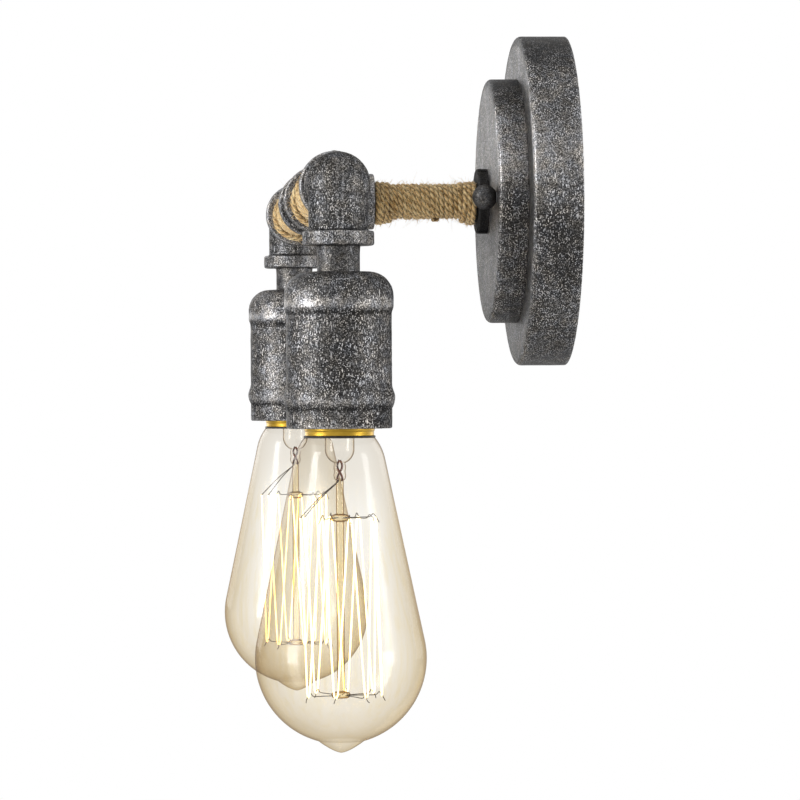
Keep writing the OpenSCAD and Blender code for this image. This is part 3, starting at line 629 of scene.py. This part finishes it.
def canopy_shell(node, r, back, front):
    """A pressed shell with a rounded front edge and a turned-in lip, from back to front."""
    outline = rounded([
        (hole_r, front, 0), (r, front, rim_edge), (r, back, 0.3 * mm), (r - sheet, back, 0.3 * mm),
        (r - sheet, back + 2 * mm, 0), (r - sheet, front - sheet, 1 * mm), (hole_r, front - sheet, 0),
    ])
    made = lathe(f"{node}_finished", finely(outline, 0.9 * mm), (0, 0, 0), WALL, 320)
    holes = [drill(stud_hole_r, (x, 0, 0), WALL, back - mm, front + mm) for x in (-stud_x, stud_x)]

    def painted_rim_light(co):
        """Painted light on the rim: a painted highlight a little above its middle and a weaker one low down, and
        painted shade at its top, where it is darkest.
        """
        brightest, bright_again, top_from = 0.30, -0.62, 0.70
        height = co[:, 2] / r
        above = np.exp(-((height - brightest) / np.where(height > brightest, 0.34, 0.27)) ** 2)
        below = np.exp(-((height - bright_again) / 0.20) ** 2)
        top = np.clip((height - top_from) / 0.2, 0, 1)
        on_rim = np.clip((np.hypot(co[:, 0], co[:, 2]) - r + 2 * rim_edge) / rim_edge, 0, 1)
        return on_rim * (1.15 * above + 0.35 * below - 0.42 - 0.8 * top)

    # The rim's painted highlights and painted shade are added to its edge wear
    metal(cut(made, *holes), node, material=pressed, lumps=0.03 * mm, lump_scale=260, full=1.5 * mm, more=painted_rim_light)


canopy_shell("canopy_pan", pan_r, 0, pan_front)
canopy_shell("canopy_boss", boss_r, pan_front, boss_front)

collar = rounded([
    (hole_r, boss_front, 0), (collar_r, boss_front, 0.3 * mm), (collar_r, collar_front, 1 * mm),
    (hole_r, collar_front, 0.4 * mm),
])
metal(lathe("wall_collar_finished", finely(collar, 0.5 * mm), (0, 0, 0), WALL, 160), "wall_collar", material=black)


# Fittings

fitting_r = 11.1 * mm
bead_w = 5.5 * mm
seam_w = 1.1 * mm
seam_h = 0.2 * mm
socket_depth = 12 * mm
branch_r = 9.8 * mm
branch_l = fitting_l + 1.5 * mm
branch_bead_r = 11.4 * mm
elbow_ball_r = 12.1 * mm
# The ways through the castings for the wires: along the tee, into its branch, and round an elbow
tee_way_r = 4.6 * mm
branch_way_r = 3.5 * mm
elbow_way_r = 5.5 * mm


def leg(centre, axes, r, end_r, length=fitting_l):
    """A fitting's solid leg, with a bead at its end."""
    step = end_r - r
    foot = length - bead_w
    outline = rounded([
        (0, 0, 0), (r, 0, 0), (r, foot, step / 3), (end_r, foot, step / 3),
        (end_r, length, step / 3), (0, length, 0),
    ])
    return lathe("leg", outline, centre, axes, 160, closed=False)


def bores(centre, axes, pipe_r, way_r):
    """A socket for a pipe in a leg's end, and the way through to the fitting's middle."""
    return [
        drill(pipe_r + gap, centre, axes, fitting_l - socket_depth - gap, branch_l + mm),
        drill(way_r, centre, axes, -way_r, fitting_l),
    ]


def flip(axes):
    return axes[0], -axes[1], -axes[2]


def casting(node, centre, solids, holes, seam):
    """Solids melted into one casting, with small fillets, bored, and with a faint seam. seam gives a point's distance
    from the seam's plane. The beads at its ends and the seam's edges are rubbed brighter."""
    work = bmesh.new()
    for solid in solids:
        work.from_mesh(solid.data)
        bpy.data.objects.remove(solid)
    made = new_object(f"{node}_casting", [], [])
    work.to_mesh(made.data)
    work.free()
    melt = made.modifiers.new("melt", "REMESH")
    melt.mode, melt.voxel_size = "VOXEL", 0.36 * mm
    even = made.modifiers.new("even", "SMOOTH")
    even.factor, even.iterations = 0.5, 4
    apply_modifiers(made)
    move_out(made.data, seam_h * np.exp(-(seam(triples(made.data.vertices, "co")) / seam_w) ** 4))
    uneven(made.data, 0.05 * mm, 420)
    cut(made, *holes)
    made.data.shade_smooth()

    def rubbed(co):
        on_bead = np.abs(co - np.array(centre)).max(axis=1) > fitting_l - bead_w
        seam_edge = np.exp(-((np.abs(seam(co)) - seam_w) / (0.4 * mm)) ** 2)
        return np.where(on_bead, 0.5, 0.55 * seam_edge)

    give_wear_and_light(made.data, more=rubbed)
    piece(made, cast, "fixture", "cast_fitting", node)


to_wall = flip(WALL)
casting(
    "tee", bar_middle,
    [leg(bar_middle, BAR, fitting_r, bead_r), leg(bar_middle, flip(BAR), fitting_r, bead_r),
     leg(bar_middle, to_wall, branch_r, branch_bead_r, branch_l)],
    bores(bar_middle, BAR, arm_pipe_r, tee_way_r) + bores(bar_middle, flip(BAR), arm_pipe_r, tee_way_r)
    + bores(bar_middle, to_wall, wall_pipe_r, branch_way_r),
    lambda co: co[:, 2],
)
for side, corner in lamp_at.items():
    inward = flip(BAR) if side == "right" else BAR
    ball = [(elbow_ball_r * math.sin(math.pi * k / 60), -elbow_ball_r * math.cos(math.pi * k / 60)) for k in range(61)]
    casting(
        f"{side}_elbow", corner,
        [lathe("ball", ball, corner, LAMP, 160, closed=False),
         leg(corner, inward, fitting_r, bead_r), leg(corner, LAMP, fitting_r, bead_r)],
        bores(corner, inward, arm_pipe_r, elbow_way_r) + bores(corner, LAMP, nipple_r, elbow_way_r),
        lambda co: co[:, 1] + reach,
    )


# Lamp cups and nipples

cup_r = 19.7 * mm
cup_wall = 1.9 * mm
shoulder_r = 9.1 * mm
shoulder_depth = cup_top + shoulder_r
brow = 0.75 * mm
step_at = shoulder_depth + 5.2 * mm
step_l = 3.0 * mm
swell_at = cup_rim - 11.4 * mm
swell_above = 4.8 * mm
swell_below = 3.9 * mm
skirt_from = cup_rim - 4 * mm


def cup_painted_light_and_wear(co):
    """Painted highlights over the step and on the swelling's lower half, painted shade under both and towards the
    wall, and brighter at the rim.
    """
    depth = -co[:, 2] / mm

    def near(at, width):
        return np.exp(-((depth - at / mm) / width) ** 2)

    # Painted shade, darker towards the wall
    wall_side_shade = np.clip((co[:, 1] + reach) / cup_r, 0, 1)
    return (1.05 * near(step_at - 2.4 * mm, 2.0) - 0.8 * near(step_at + 1.2 * mm, 0.8) - 0.45 * wall_side_shade
            + 0.8 * near(swell_at + 1.4 * mm, 1.3) - 1.0 * near(swell_at + 4.3 * mm, 0.6) + 0.5 * near(cup_rim, 0.9))


def cup_outline():
    """A flat top, a round shoulder, a step down to the wall, a swelling and a plain skirt, and back up inside."""
    flat_r = cup_r + brow - shoulder_r
    outer = [(nipple_r + gap, cup_top)]
    outer += arc(flat_r, shoulder_depth, shoulder_r, -math.pi / 2, 0, 14)
    for k in range(1, 13):
        outer.append((cup_r + brow * (1 - eased(k / 12)), step_at + (k / 12 - 0.5) * step_l))
    for k in range(-12, 13):
        t = k / 12
        rise = ((1 + math.cos(math.pi * t)) / 2) ** (0.85 if t < 0 else 0.45)
        outer.append((cup_r + (swell_r - cup_r) * rise, swell_at + (swell_above if t < 0 else swell_below) * t))
    outer += rounded([(cup_r, skirt_from, 0), (cup_r, cup_rim, 0.7 * mm), (cup_r - cup_wall, cup_rim, 0.5 * mm),
                      (cup_r - cup_wall, skirt_from, 0)])
    inner = [(cup_r - cup_wall, shoulder_depth + 5 * mm)]
    inner += arc(flat_r, shoulder_depth, shoulder_r - cup_wall, 0, -math.pi / 2, 10)
    return outer + inner + [(nipple_r + gap, cup_top + cup_wall)]


flare_l = 3.2 * mm
flare_w = 0.25 * mm


def flared(r, depth, a):
    """The nipple swells a little where it leaves the fitting."""
    t = (fitting_l + flare_l - depth) / flare_l
    return r + flare_w * max(0, min(1, t)) ** 2 if r > 0.9 * nipple_r and depth > fitting_l else r


for side, axis in lamp_at.items():
    # The cups' painted highlights and painted shade go in with their wear
    metal(lathe(f"{side}_cup_finished", finely(cup_outline(), 0.55 * mm), axis, LAMP, 224), f"{side}_cup",
          lumps=0.06 * mm, more=cup_painted_light_and_wear)
    low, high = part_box(f"{side}_nipple")
    head, foot = -high.z, -low.z
    outline = rounded([
        (elbow_way_r, head, 0), (nipple_r, head, 0.3 * mm), (nipple_r, foot, 0.3 * mm), (elbow_way_r, foot, 0),
    ])
    metal(lathe(f"{side}_nipple_finished", finely(outline, 0.6 * mm), axis, LAMP, 128, shape=flared),
          f"{side}_nipple", material=dark, slot="dark_silver", lumps=0.03 * mm)


# Twine

# The length of one twist of the three plies. Its sign gives their hand.
twine_lay = -8.0 * mm


def steady(points, count, spread):
    """Seeded values that wander smoothly between -spread and spread."""
    knots = chance.uniform(-spread, spread, count)
    at = np.linspace(0, count - 1, points)
    i = np.minimum(at.astype(int), count - 2)
    t = eased(at - i)
    return knots[i] * (1 - t) + knots[i + 1] * t


def yarn(name, lines, r, angle, outs, sides, gone, crease_shade):
    """Tubes along lines[tube, ring], with the points of a ring at r and at angle from outs to sides. jute() reads how
    far along its yarn a point has gone, where round it lies, and 1 in creases, where it paints shade."""
    points = (lines[:, :, None] + (r * np.cos(angle))[..., None] * outs[..., None, :]
              + (r * np.sin(angle))[..., None] * sides[..., None, :])
    count, rings, around = points.shape[:3]
    k = np.arange(around)
    first = np.arange(count * rings).reshape(count, rings)[:, :-1, None] * around
    a, b = first + k, first + (k + 1) % around
    made = new_object(name, points.reshape(-1, 3), np.stack([a, b, b + around, a + around], -1).reshape(-1, 4))
    phase = 2 * np.pi * k / around
    strand = np.stack(np.broadcast_arrays(gone[..., None], np.cos(phase), np.sin(phase)), -1)
    crease_shade = np.broadcast_to(crease_shade, points.shape[:3])
    add = made.data.attributes.new
    add("strand", "FLOAT_VECTOR", "POINT").data.foreach_set("vector", strand.ravel().astype(np.float32))
    add("crease_shade", "FLOAT", "POINT").data.foreach_set("value", crease_shade.ravel().astype(np.float32))
    return made


def twine(name, path, outs, radius, *stands_for):
    """A twisted three-ply twine along a path. Its creases, where jute() paints shade, are the ring's every third
    point, and the flanks that lie against the next turn."""
    around = 9
    along = unit(np.gradient(path, axis=0))
    outs = unit(outs - (outs * along).sum(1)[:, None] * along)
    side = np.cross(along, outs)
    gone = np.concatenate([[0], np.cumsum(np.linalg.norm(np.diff(path, axis=0), axis=1))])
    between_plies = np.arange(around) % 3 == 0
    angle = (2 * np.pi * gone / twine_lay)[:, None] + 2 * np.pi * np.arange(around) / around
    r = np.broadcast_to(radius, len(path))[:, None] * np.where(between_plies, 0.76, 1.03)
    between_turns = np.clip((0.50 - np.cos(angle)) / 0.45, 0, 1)
    # These creases get painted shade in jute()
    crease_shade = np.maximum(between_plies, between_turns)
    made = yarn(name, path[None], r, angle, outs, side, gone[None] / mm, crease_shade)
    outward(made.data)
    piece(made, jute_twine, "fixture", "jute", *stands_for)


def fibres(name, path, outs, radius, count, longest, rise=(0.15, 0.8), thick=0.055 * mm):
    """Loose fibre ends. rise is how steeply they leave the twine: low ones lie over its turns."""
    rings, sides = 5, 3
    at = chance.integers(2, len(path) - 2, count)
    along = unit(path[at + 1] - path[at - 1])
    out = unit(outs[at])
    across = np.cross(along, out)
    lean = chance.uniform(-1.1, 1.1, count)[:, None]
    away = out * np.cos(lean) + across * np.sin(lean)
    foot = path[at] + radius * 0.85 * away
    start = along * chance.uniform(-1.3, 1.3, count)[:, None] + chance.normal(0, 0.35, (count, 3))
    start = unit(start + away * (chance.uniform(*rise, count) - (start * away).sum(1))[:, None])
    curl = chance.normal(0, 0.8, (count, 3))
    lies_down = rise[1] < 0.3
    curl -= away * (0.35 + (curl * away).sum(1) * lies_down)[:, None]
    length = (longest * chance.uniform(0.25, 1, count) ** 1.6)[:, None]
    t = np.linspace(0, 1, rings)
    line = (foot[:, None] + start[:, None] * (length * t)[..., None]
            + curl[:, None] * (0.5 * length * t ** 2)[..., None])
    side = unit(np.cross(start, curl))
    other = np.cross(start, side)
    width = (thick * (1 - 0.6 * t))[:, None]
    turn = 2 * np.pi * np.arange(sides) / sides
    gone = length * t / mm * 3 + at[:, None]
    piece(yarn(name, line, width, turn, side[:, None], other[:, None], gone, 0), jute_fibre, "fixture", "jute")


def wind(name, node, axes, centre, start, end, pipe_r, pitch, doubled, fuzz):
    """Twine wound on a pipe from start to end. doubled turns at each end are laid back over the others. fuzz fibres
    stand off it, and twice as many lie on it."""
    twine_d = pitch * 1.2
    ring_step = 0.42 * mm
    climb = 0.35
    length = end - start - twine_d
    turns = round(length / pitch) + 1
    total = turns + 2 * doubled
    count = int(total * int(2 * math.pi * pipe_r / ring_step))
    u = np.linspace(0, total, count)
    over_start = np.where(u < doubled, 1 - 0.5 * (1 - u / doubled), 0) * (1 - eased((u - doubled + climb) / climb))
    over_end = eased((u - doubled - turns) / climb) * (1 - 0.5 * (u - doubled - turns) / doubled)
    out_and_back = np.interp(u, [0, doubled - 0.5, doubled + 0.5, doubled + turns - 0.5, doubled + turns + 0.5, total],
                             [(doubled - 0.5) * pitch, 0, 0, length, length, length - (doubled - 0.5) * pitch])
    x = start + twine_d / 2 + out_and_back + steady(count, int(total * 3), 0.11 * pitch)
    angle = 2 * np.pi * u + 0.6
    across, up, along = (np.array(a) for a in axes)
    out = np.cos(angle)[:, None] * across + np.sin(angle)[:, None] * up
    sag = (1 - out[:, 2]) / 2
    layer = np.maximum(over_start, over_end) * (0.5 + 0.9 * sag)
    r = pipe_r + twine_d / 2 + layer * twine_d * 0.92 + steady(count, int(total * 4), 0.13 * mm)
    path = np.array(centre) + x[:, None] * along + r[:, None] * out
    twine(f"{name}_twine", path, out, twine_d / 2 * (1 + steady(count, int(total * 5), 0.11)), node)
    fibres(f"{name}_fibres", path, out, twine_d / 2, fuzz, 4.5 * mm)
    fibres(f"{name}_laid_fibres", path, out, twine_d / 2, 2 * fuzz, 3.4 * mm, rise=(0.05, 0.28), thick=0.15 * mm)


wind("wall", "wall_rope", WALL, (0, 0, 0), collar_front, reach - branch_l, wall_pipe_r,
     pitch=1.9 * mm, doubled=3.4, fuzz=700)
for side in SIDES:
    wind(f"{side}_arm", f"{side}_rope", BAR if side == "right" else flip(BAR), bar_middle,
         fitting_l, lamp_x - fitting_l, arm_pipe_r, pitch=2.0 * mm, doubled=2.3, fuzz=900)

# A small knot where two lengths of twine join, under the pipe out of the wall
knot_r = 0.42 * mm
knot_twine_r = 0.62 * mm
knot_at = np.array((0.4 * mm, -53.1 * mm, -(wall_pipe_r + 2.3 * mm)))
u = np.linspace(0, 2 * np.pi, 90)
knot = np.stack([np.sin(u) + 2 * np.sin(2 * u), np.cos(u) - 2 * np.cos(2 * u), -np.sin(3 * u)], -1) * knot_r
knot_outs = np.stack([np.sin(3 * u) * 0.3, np.sin(u) * 0.3, -np.ones(len(u))], -1)
twine("wall_knot", knot_at + knot, knot_outs, knot_twine_r)


# Bulbs

neck_r = cap_r + 0.15 * mm
neck_start = cap_rim + 0.7 * mm
neck_l = 8 * mm
cone = math.radians(12)
tip_h = 3.3 * mm
tip_r = 8.6 * mm
ball_depth = glass_tip - tip_h - glass_r
cone_end = ball_depth - glass_r * math.sin(cone)
cone_end_r = glass_r * math.cos(cone)


def cone_at(depth):
    return cone_end_r - math.tan(cone) * (cone_end - depth)


def neck_at(depth):
    """The glass narrows from the cone to the cap."""
    t = (depth - neck_start) / neck_l
    return cone_at(depth) - (cone_at(neck_start) - neck_r) * max(0.0, 1 - t) ** 2.2


def glass_outline():
    """The outside alone, because light that goes through counts one tint for each wall."""
    seat_r = cap_r - 1.5 * mm
    tip_from = math.asin(tip_r / glass_r)
    tip_base = ball_depth + glass_r * math.cos(tip_from)
    outer = [(seat_r, stem_foot), (seat_r, cap_rim + 0.2 * mm)]
    outer += [(neck_at(depth), depth) for depth in np.linspace(neck_start, neck_start + neck_l, 25)]
    outer += arc(0, ball_depth, glass_r, -cone, math.pi / 2 - tip_from, 60)[1:]
    for i in range(1, 17):
        t = math.sin(math.pi / 2 * i / 16)
        outer.append((tip_r * (1 - t) ** 0.68, tip_base + (glass_tip - tip_base) * t))
    return outer


cap_inner_r = cap_r - 1.15 * mm
skirt_r = cap_r - 0.3 * mm
cap_outline = rounded([
    (cap_inner_r, cap_rim, 0), (skirt_r, cap_rim, 0.25 * mm), (skirt_r, cap_rim - 1.6 * mm, 0.1 * mm),
    (cap_r, cap_rim - 2.1 * mm, 0.2 * mm), (cap_r, cap_top, 0.3 * mm), (cap_inner_r, cap_top, 0),
])
thread_pitch = 3.63 * mm
thread_h = 0.34 * mm
thread_end = cap_rim - 4.4 * mm
thread_run_out = 1.5 * mm


def threaded(r, depth, a):
    """The cap's rolled thread, which runs out into the plain skirt."""
    if r <= cap_r - 0.4 * mm:
        return r
    into = eased((thread_end - depth) / thread_run_out)
    return r - into * thread_h * (1 + math.cos(2 * math.pi * depth / thread_pitch - a))


seal_inner_r = cap_r - 1.2 * mm
seal_r = cap_r + 0.25 * mm
seal_top = cap_rim - 0.15 * mm
seal_foot = cap_rim + 0.72 * mm
seal_outline = rounded([
    (seal_inner_r, seal_top, 0), (seal_r, seal_top, 0.3 * mm), (seal_r, seal_foot, 0.3 * mm),
    (seal_inner_r, seal_foot, 0),
])

stem_r = 5.5 * mm
stem_foot_r = cap_r - 2.35 * mm
funnel_l = 8 * mm
pinch_top = cap_rim + 10 * mm
pinch_bottom = pinch_top + 6.5 * mm
pinch_r = 2.2 * mm
rod_r = 1.45 * mm
button_r = 3.5 * mm
lead_x = 1.5 * mm
# How far the rod and the leads start up inside the pinch
sunk = 0.6 * mm


def stem_outline():
    """A flared tube that ends in a round bottom, with a pinch under it."""
    round_end = math.acos(pinch_r / stem_r)
    outline = [(stem_r + (stem_foot_r - stem_r) * (1 - k / 16) ** 3, stem_foot + funnel_l * k / 16)
               for k in range(17)]
    outline += arc(0, pinch_top - stem_r * math.sin(round_end), stem_r, 0, round_end, 16)
    outline += rounded([(pinch_r, pinch_top + 1 * mm, 0), (pinch_r, pinch_bottom, 0.9 * mm), (0, pinch_bottom, 0)])
    return finely(outline, 0.5 * mm, closed=False)


def pinched(r, depth, a):
    """The pinch is wider across than it is thick, and a little rippled by the tongs."""
    into = eased((depth - pinch_top + 1.5 * mm) / (2 * mm))
    return r * (1 + into * (0.42 * math.cos(a) ** 2 + 0.05 * math.sin(depth / mm * 2.1)))


def beaded(r, depth, a):
    """The buttons are lumpy where the hooks were melted in."""
    if r < rod_r * 1.05:
        return r
    return r * (1 + 0.05 * math.cos(7 * a) + 0.03 * math.sin(3 * a + 1))


def rod_outline():
    outline = [(0, pinch_bottom - sunk, 0), (rod_r, pinch_bottom - sunk, 0)]
    for ring in (upper_ring, lower_ring):
        outline += [(rod_r, ring - 1.5 * mm, 0.4 * mm), (button_r, ring - 0.9 * mm, 0.7 * mm),
                    (button_r * 0.9, ring + 1 * mm, 0.9 * mm)]
        if ring == upper_ring:
            outline.append((rod_r, ring + 1.5 * mm, 0.4 * mm))
    return finely(rounded(outline + [(0, lower_ring + 1.2 * mm, 0)]), 0.4 * mm, closed=False)


# The hooks go round from one side of the filament's open front to the other. Odd ones are low. In the place of the
# first and the last, the leads hold the filament's ends.
hooks = 15
first_hook = math.radians(101)
hook_step = 2 * math.pi / (hooks + 1)
upper_hook_r = 13.8 * mm
lower_hook_r = 15.3 * mm
lead_end_r = 15.4 * mm
hook_wire_r = 0.17 * mm
lead_wire_r = 0.2 * mm
pinch_wire_r = 0.42 * mm
filament_r = 0.3 * mm


def round_axis(side, i, r, depth, swing=0.0):
    """The point at a hook's angle, a radius and a depth."""
    a = first_hook + hook_step * (i + 1) + swing
    return np.array((SIDES[side] * (lamp_x + r * math.cos(a)), -reach - r * math.sin(a), -depth))


def ring_of(i):
    """A hook's depth and radius, and the way that the filament leaves it, 1 for down."""
    if i in (0, hooks - 1):
        return upper_ring, lead_end_r, 1
    return (lower_ring, lower_hook_r, -1) if i % 2 else (upper_ring, upper_hook_r, 1)


def hook_paths(side):
    """Wires out from the buttons, each bent up over the filament and down again at its end."""
    paths = []
    for i in range(1, hooks - 1):
        ring, r, _ = ring_of(i)
        lift, sway = chance.uniform(-0.35, 0.35) * mm, chance.uniform(-0.05, 0.05)
        bends = [
            (button_r * 0.8, ring, 0), (r * 0.55, ring + lift * 0.5, sway * 0.3),
            (r - 2.4 * mm, ring + lift, sway * 0.6), (r - 1.1 * mm, ring - 1.4 * mm, sway * 0.3),
            (r, ring - 0.4 * mm, 0), (r + 0.7 * mm, ring + 0.9 * mm, 0.02), (r + 1.3 * mm, ring + 1.9 * mm, sway),
        ]
        paths.append(curved([round_axis(side, i, *bend) for bend in bends], 5))
    return paths


def lead_paths(side):
    """Wires out of the pinch to the filament's two ends."""
    paths = []
    for i, x in ((0, 1), (hooks - 1, -1)):
        start = np.array((SIDES[side] * (lamp_x + x * lead_x), -reach - 0.4 * mm, sunk - pinch_bottom))
        end = round_axis(side, i, lead_end_r, upper_ring)
        bent = start + (end - start) * 0.06 - np.array((0, 0, 0.7 * mm))
        paths.append(curved([start, bent, start + (end - start) * 0.5 + np.array((0, 0, 0.3 * mm)), end], 8))
    return paths


def pinch_wire_paths(axis):
    """The two wires through the pinch, twisted about each other."""
    t = np.linspace(0, 1, 40)
    twist = 5.2 * t
    return [np.stack([
        axis.x + x * lead_x * np.cos(twist), axis.y + x * 0.9 * mm * np.sin(twist),
        -(pinch_top - 1 * mm + (pinch_bottom - pinch_top + 1.2 * mm) * t),
    ], -1) for x in (-1, 1)]


def filament_path(side):
    """Straight legs between the two rings, which turn over each hook in five points."""
    points = []
    for i in range(hooks):
        ring, r, way = ring_of(i)
        for k in range(0 if i == 0 else -2, 1 if i == hooks - 1 else 3):
            points.append(round_axis(side, i, r, ring + way * 0.35 * mm * k * k, math.radians(1.4 * k)))
    path = []
    for a, b in zip(points[:-1], points[1:]):
        steps = max(1, int(np.linalg.norm(b - a) / (2 * mm)))
        path += [a + (b - a) * k / steps for k in range(steps)]
    return np.array(path + [points[-1]])


for side, axis in lamp_at.items():
    body = f"{side}_bulb"
    glass = lathe(f"{side}_bulb_glass_blown", glass_outline(), axis, LAMP, 144, closed=False)
    piece(glass, amber, body, "amber_glass", f"{side}_bulb_glass")
    cap = lathe(f"{side}_bulb_cap_rolled", finely(cap_outline, 0.3 * mm), axis, LAMP, 128, shape=threaded)
    piece(cap, gold, body, "brass", f"{side}_bulb_cap")
    seal = lathe(f"{side}_bulb_cement", finely(seal_outline, 0.3 * mm), axis, LAMP, 128)
    uneven(seal.data, 0.05 * mm, 900)
    piece(seal, cement, body, "black_glass")
    stem = lathe(f"{side}_stem_blown", stem_outline(), axis, LAMP, 96, closed=False, shape=pinched)
    piece(stem, clear, body, "clear_glass", f"{side}_bulb_stem")
    rod = lathe(f"{side}_rod_and_buttons", rod_outline(), axis, LAMP, 64, closed=False, shape=beaded)
    piece(rod, bead_glass, body, "clear_glass")
    piece(wires(f"{side}_pinch_wires", pinch_wire_paths(axis), pinch_wire_r), red_wire, body, "wire_metal")
    piece(wires(f"{side}_hooks", hook_paths(side), hook_wire_r, 6), wire_steel, body, "wire_metal",
          f"{side}_bulb_supports")
    piece(wires(f"{side}_leads", lead_paths(side), lead_wire_r), wire_steel, body, "wire_metal", f"{side}_bulb_leads")
    piece(wires(f"{side}_filament", [filament_path(side)], filament_r), filament_glow, body, "glowing_filament",
          f"{side}_bulb_filament")


# Stage, light and camera

world = bpy.data.worlds.new("studio")
scene.world = world
world.use_nodes = True
sky = Nodes(world.node_tree)
soft = sky.add("ShaderNodeBackground", {"Color": rgba(1), "Strength": 0.42})
white = sky.add("ShaderNodeBackground", {"Color": rgba(1), "Strength": 1.0})
sky.add("ShaderNodeOutputWorld", {"Surface": sky.shaders(sky.seen(), soft, white).outputs[0]})

floor_z = -0.32
far_off = 4
corners = [(x * far_off, y * far_off, floor_z) for x, y in ((-1, -1), (1, -1), (1, 1), (-1, 1))]
floor = new_object("floor", corners, [(0, 1, 2, 3)])
s = Surface("floor")
matt = s.add("ShaderNodeBsdfDiffuse", {"Color": s.fade(s.noise(3), 0.80, 0.84)})
bright = s.add("ShaderNodeEmission", {"Color": rgba(1), "Strength": 1.0})
# The floor is white far from the object, and keeps its shadow under it
flat = s.add("ShaderNodeVectorMath", {0: s.scaled((1, 1, 0))}, operation="LENGTH").outputs["Value"]
far = s.add("ShaderNodeMapRange", {"Value": flat, "From Min": 0.2, "From Max": 0.75, "To Min": 0.72, "To Max": 1.0},
            interpolation_type="SMOOTHSTEP").outputs[0]
floor.data.materials.append(s.done(s.shaders(s.math("MULTIPLY", s.seen(), far), matt, bright)))

lights_face = Vector((0, -0.08, -0.06))
for name, place, width, height, power in (
    ("key", (0.60, -1.45, 0.18), 0.45, 1.2, 17),
    ("fill", (0.75, 1.25, 0.12), 0.4, 1.2, 9),
    ("top", (-0.3, -0.2, 1.6), 1.0, 1.0, 1.5),
    ("back", (-1.4, -0.9, 0.4), 0.8, 1.2, 9),
    ("rear", (-1.0, 1.3, 0.3), 0.8, 1.2, 5),
):
    light = bpy.data.lights.new(name, "AREA")
    light.shape, light.size, light.size_y, light.energy = "RECTANGLE", width, height, power
    made = linked(name, light)
    made.location = place
    made.rotation_euler = (lights_face - Vector(place)).to_track_quat("-Z", "Y").to_euler()

# The camera stands where the photograph's did, 1.6 m off and almost along the bar
lens = bpy.data.cameras.new("camera")
lens.lens, lens.sensor_width = 180, 36
camera = linked("camera", lens)
camera_at = Vector((1.636, -0.2012, -0.0725))
turn, pitch, roll = math.radians(4.65), math.radians(0.31), math.radians(-0.35)
forward = Vector((-math.cos(turn) * math.cos(pitch), math.sin(turn) * math.cos(pitch), -math.sin(pitch)))
right = forward.cross(Vector((0, 0, 1))).normalized()
up = right.cross(forward)
right, up = right * math.cos(roll) + up * math.sin(roll), up * math.cos(roll) - right * math.sin(roll)
camera.matrix_world = Matrix.Translation(camera_at) @ Matrix((right, up, -forward)).transposed().to_4x4()
bpy.context.scene.camera = camera

scene.view_settings.view_transform = "Standard"
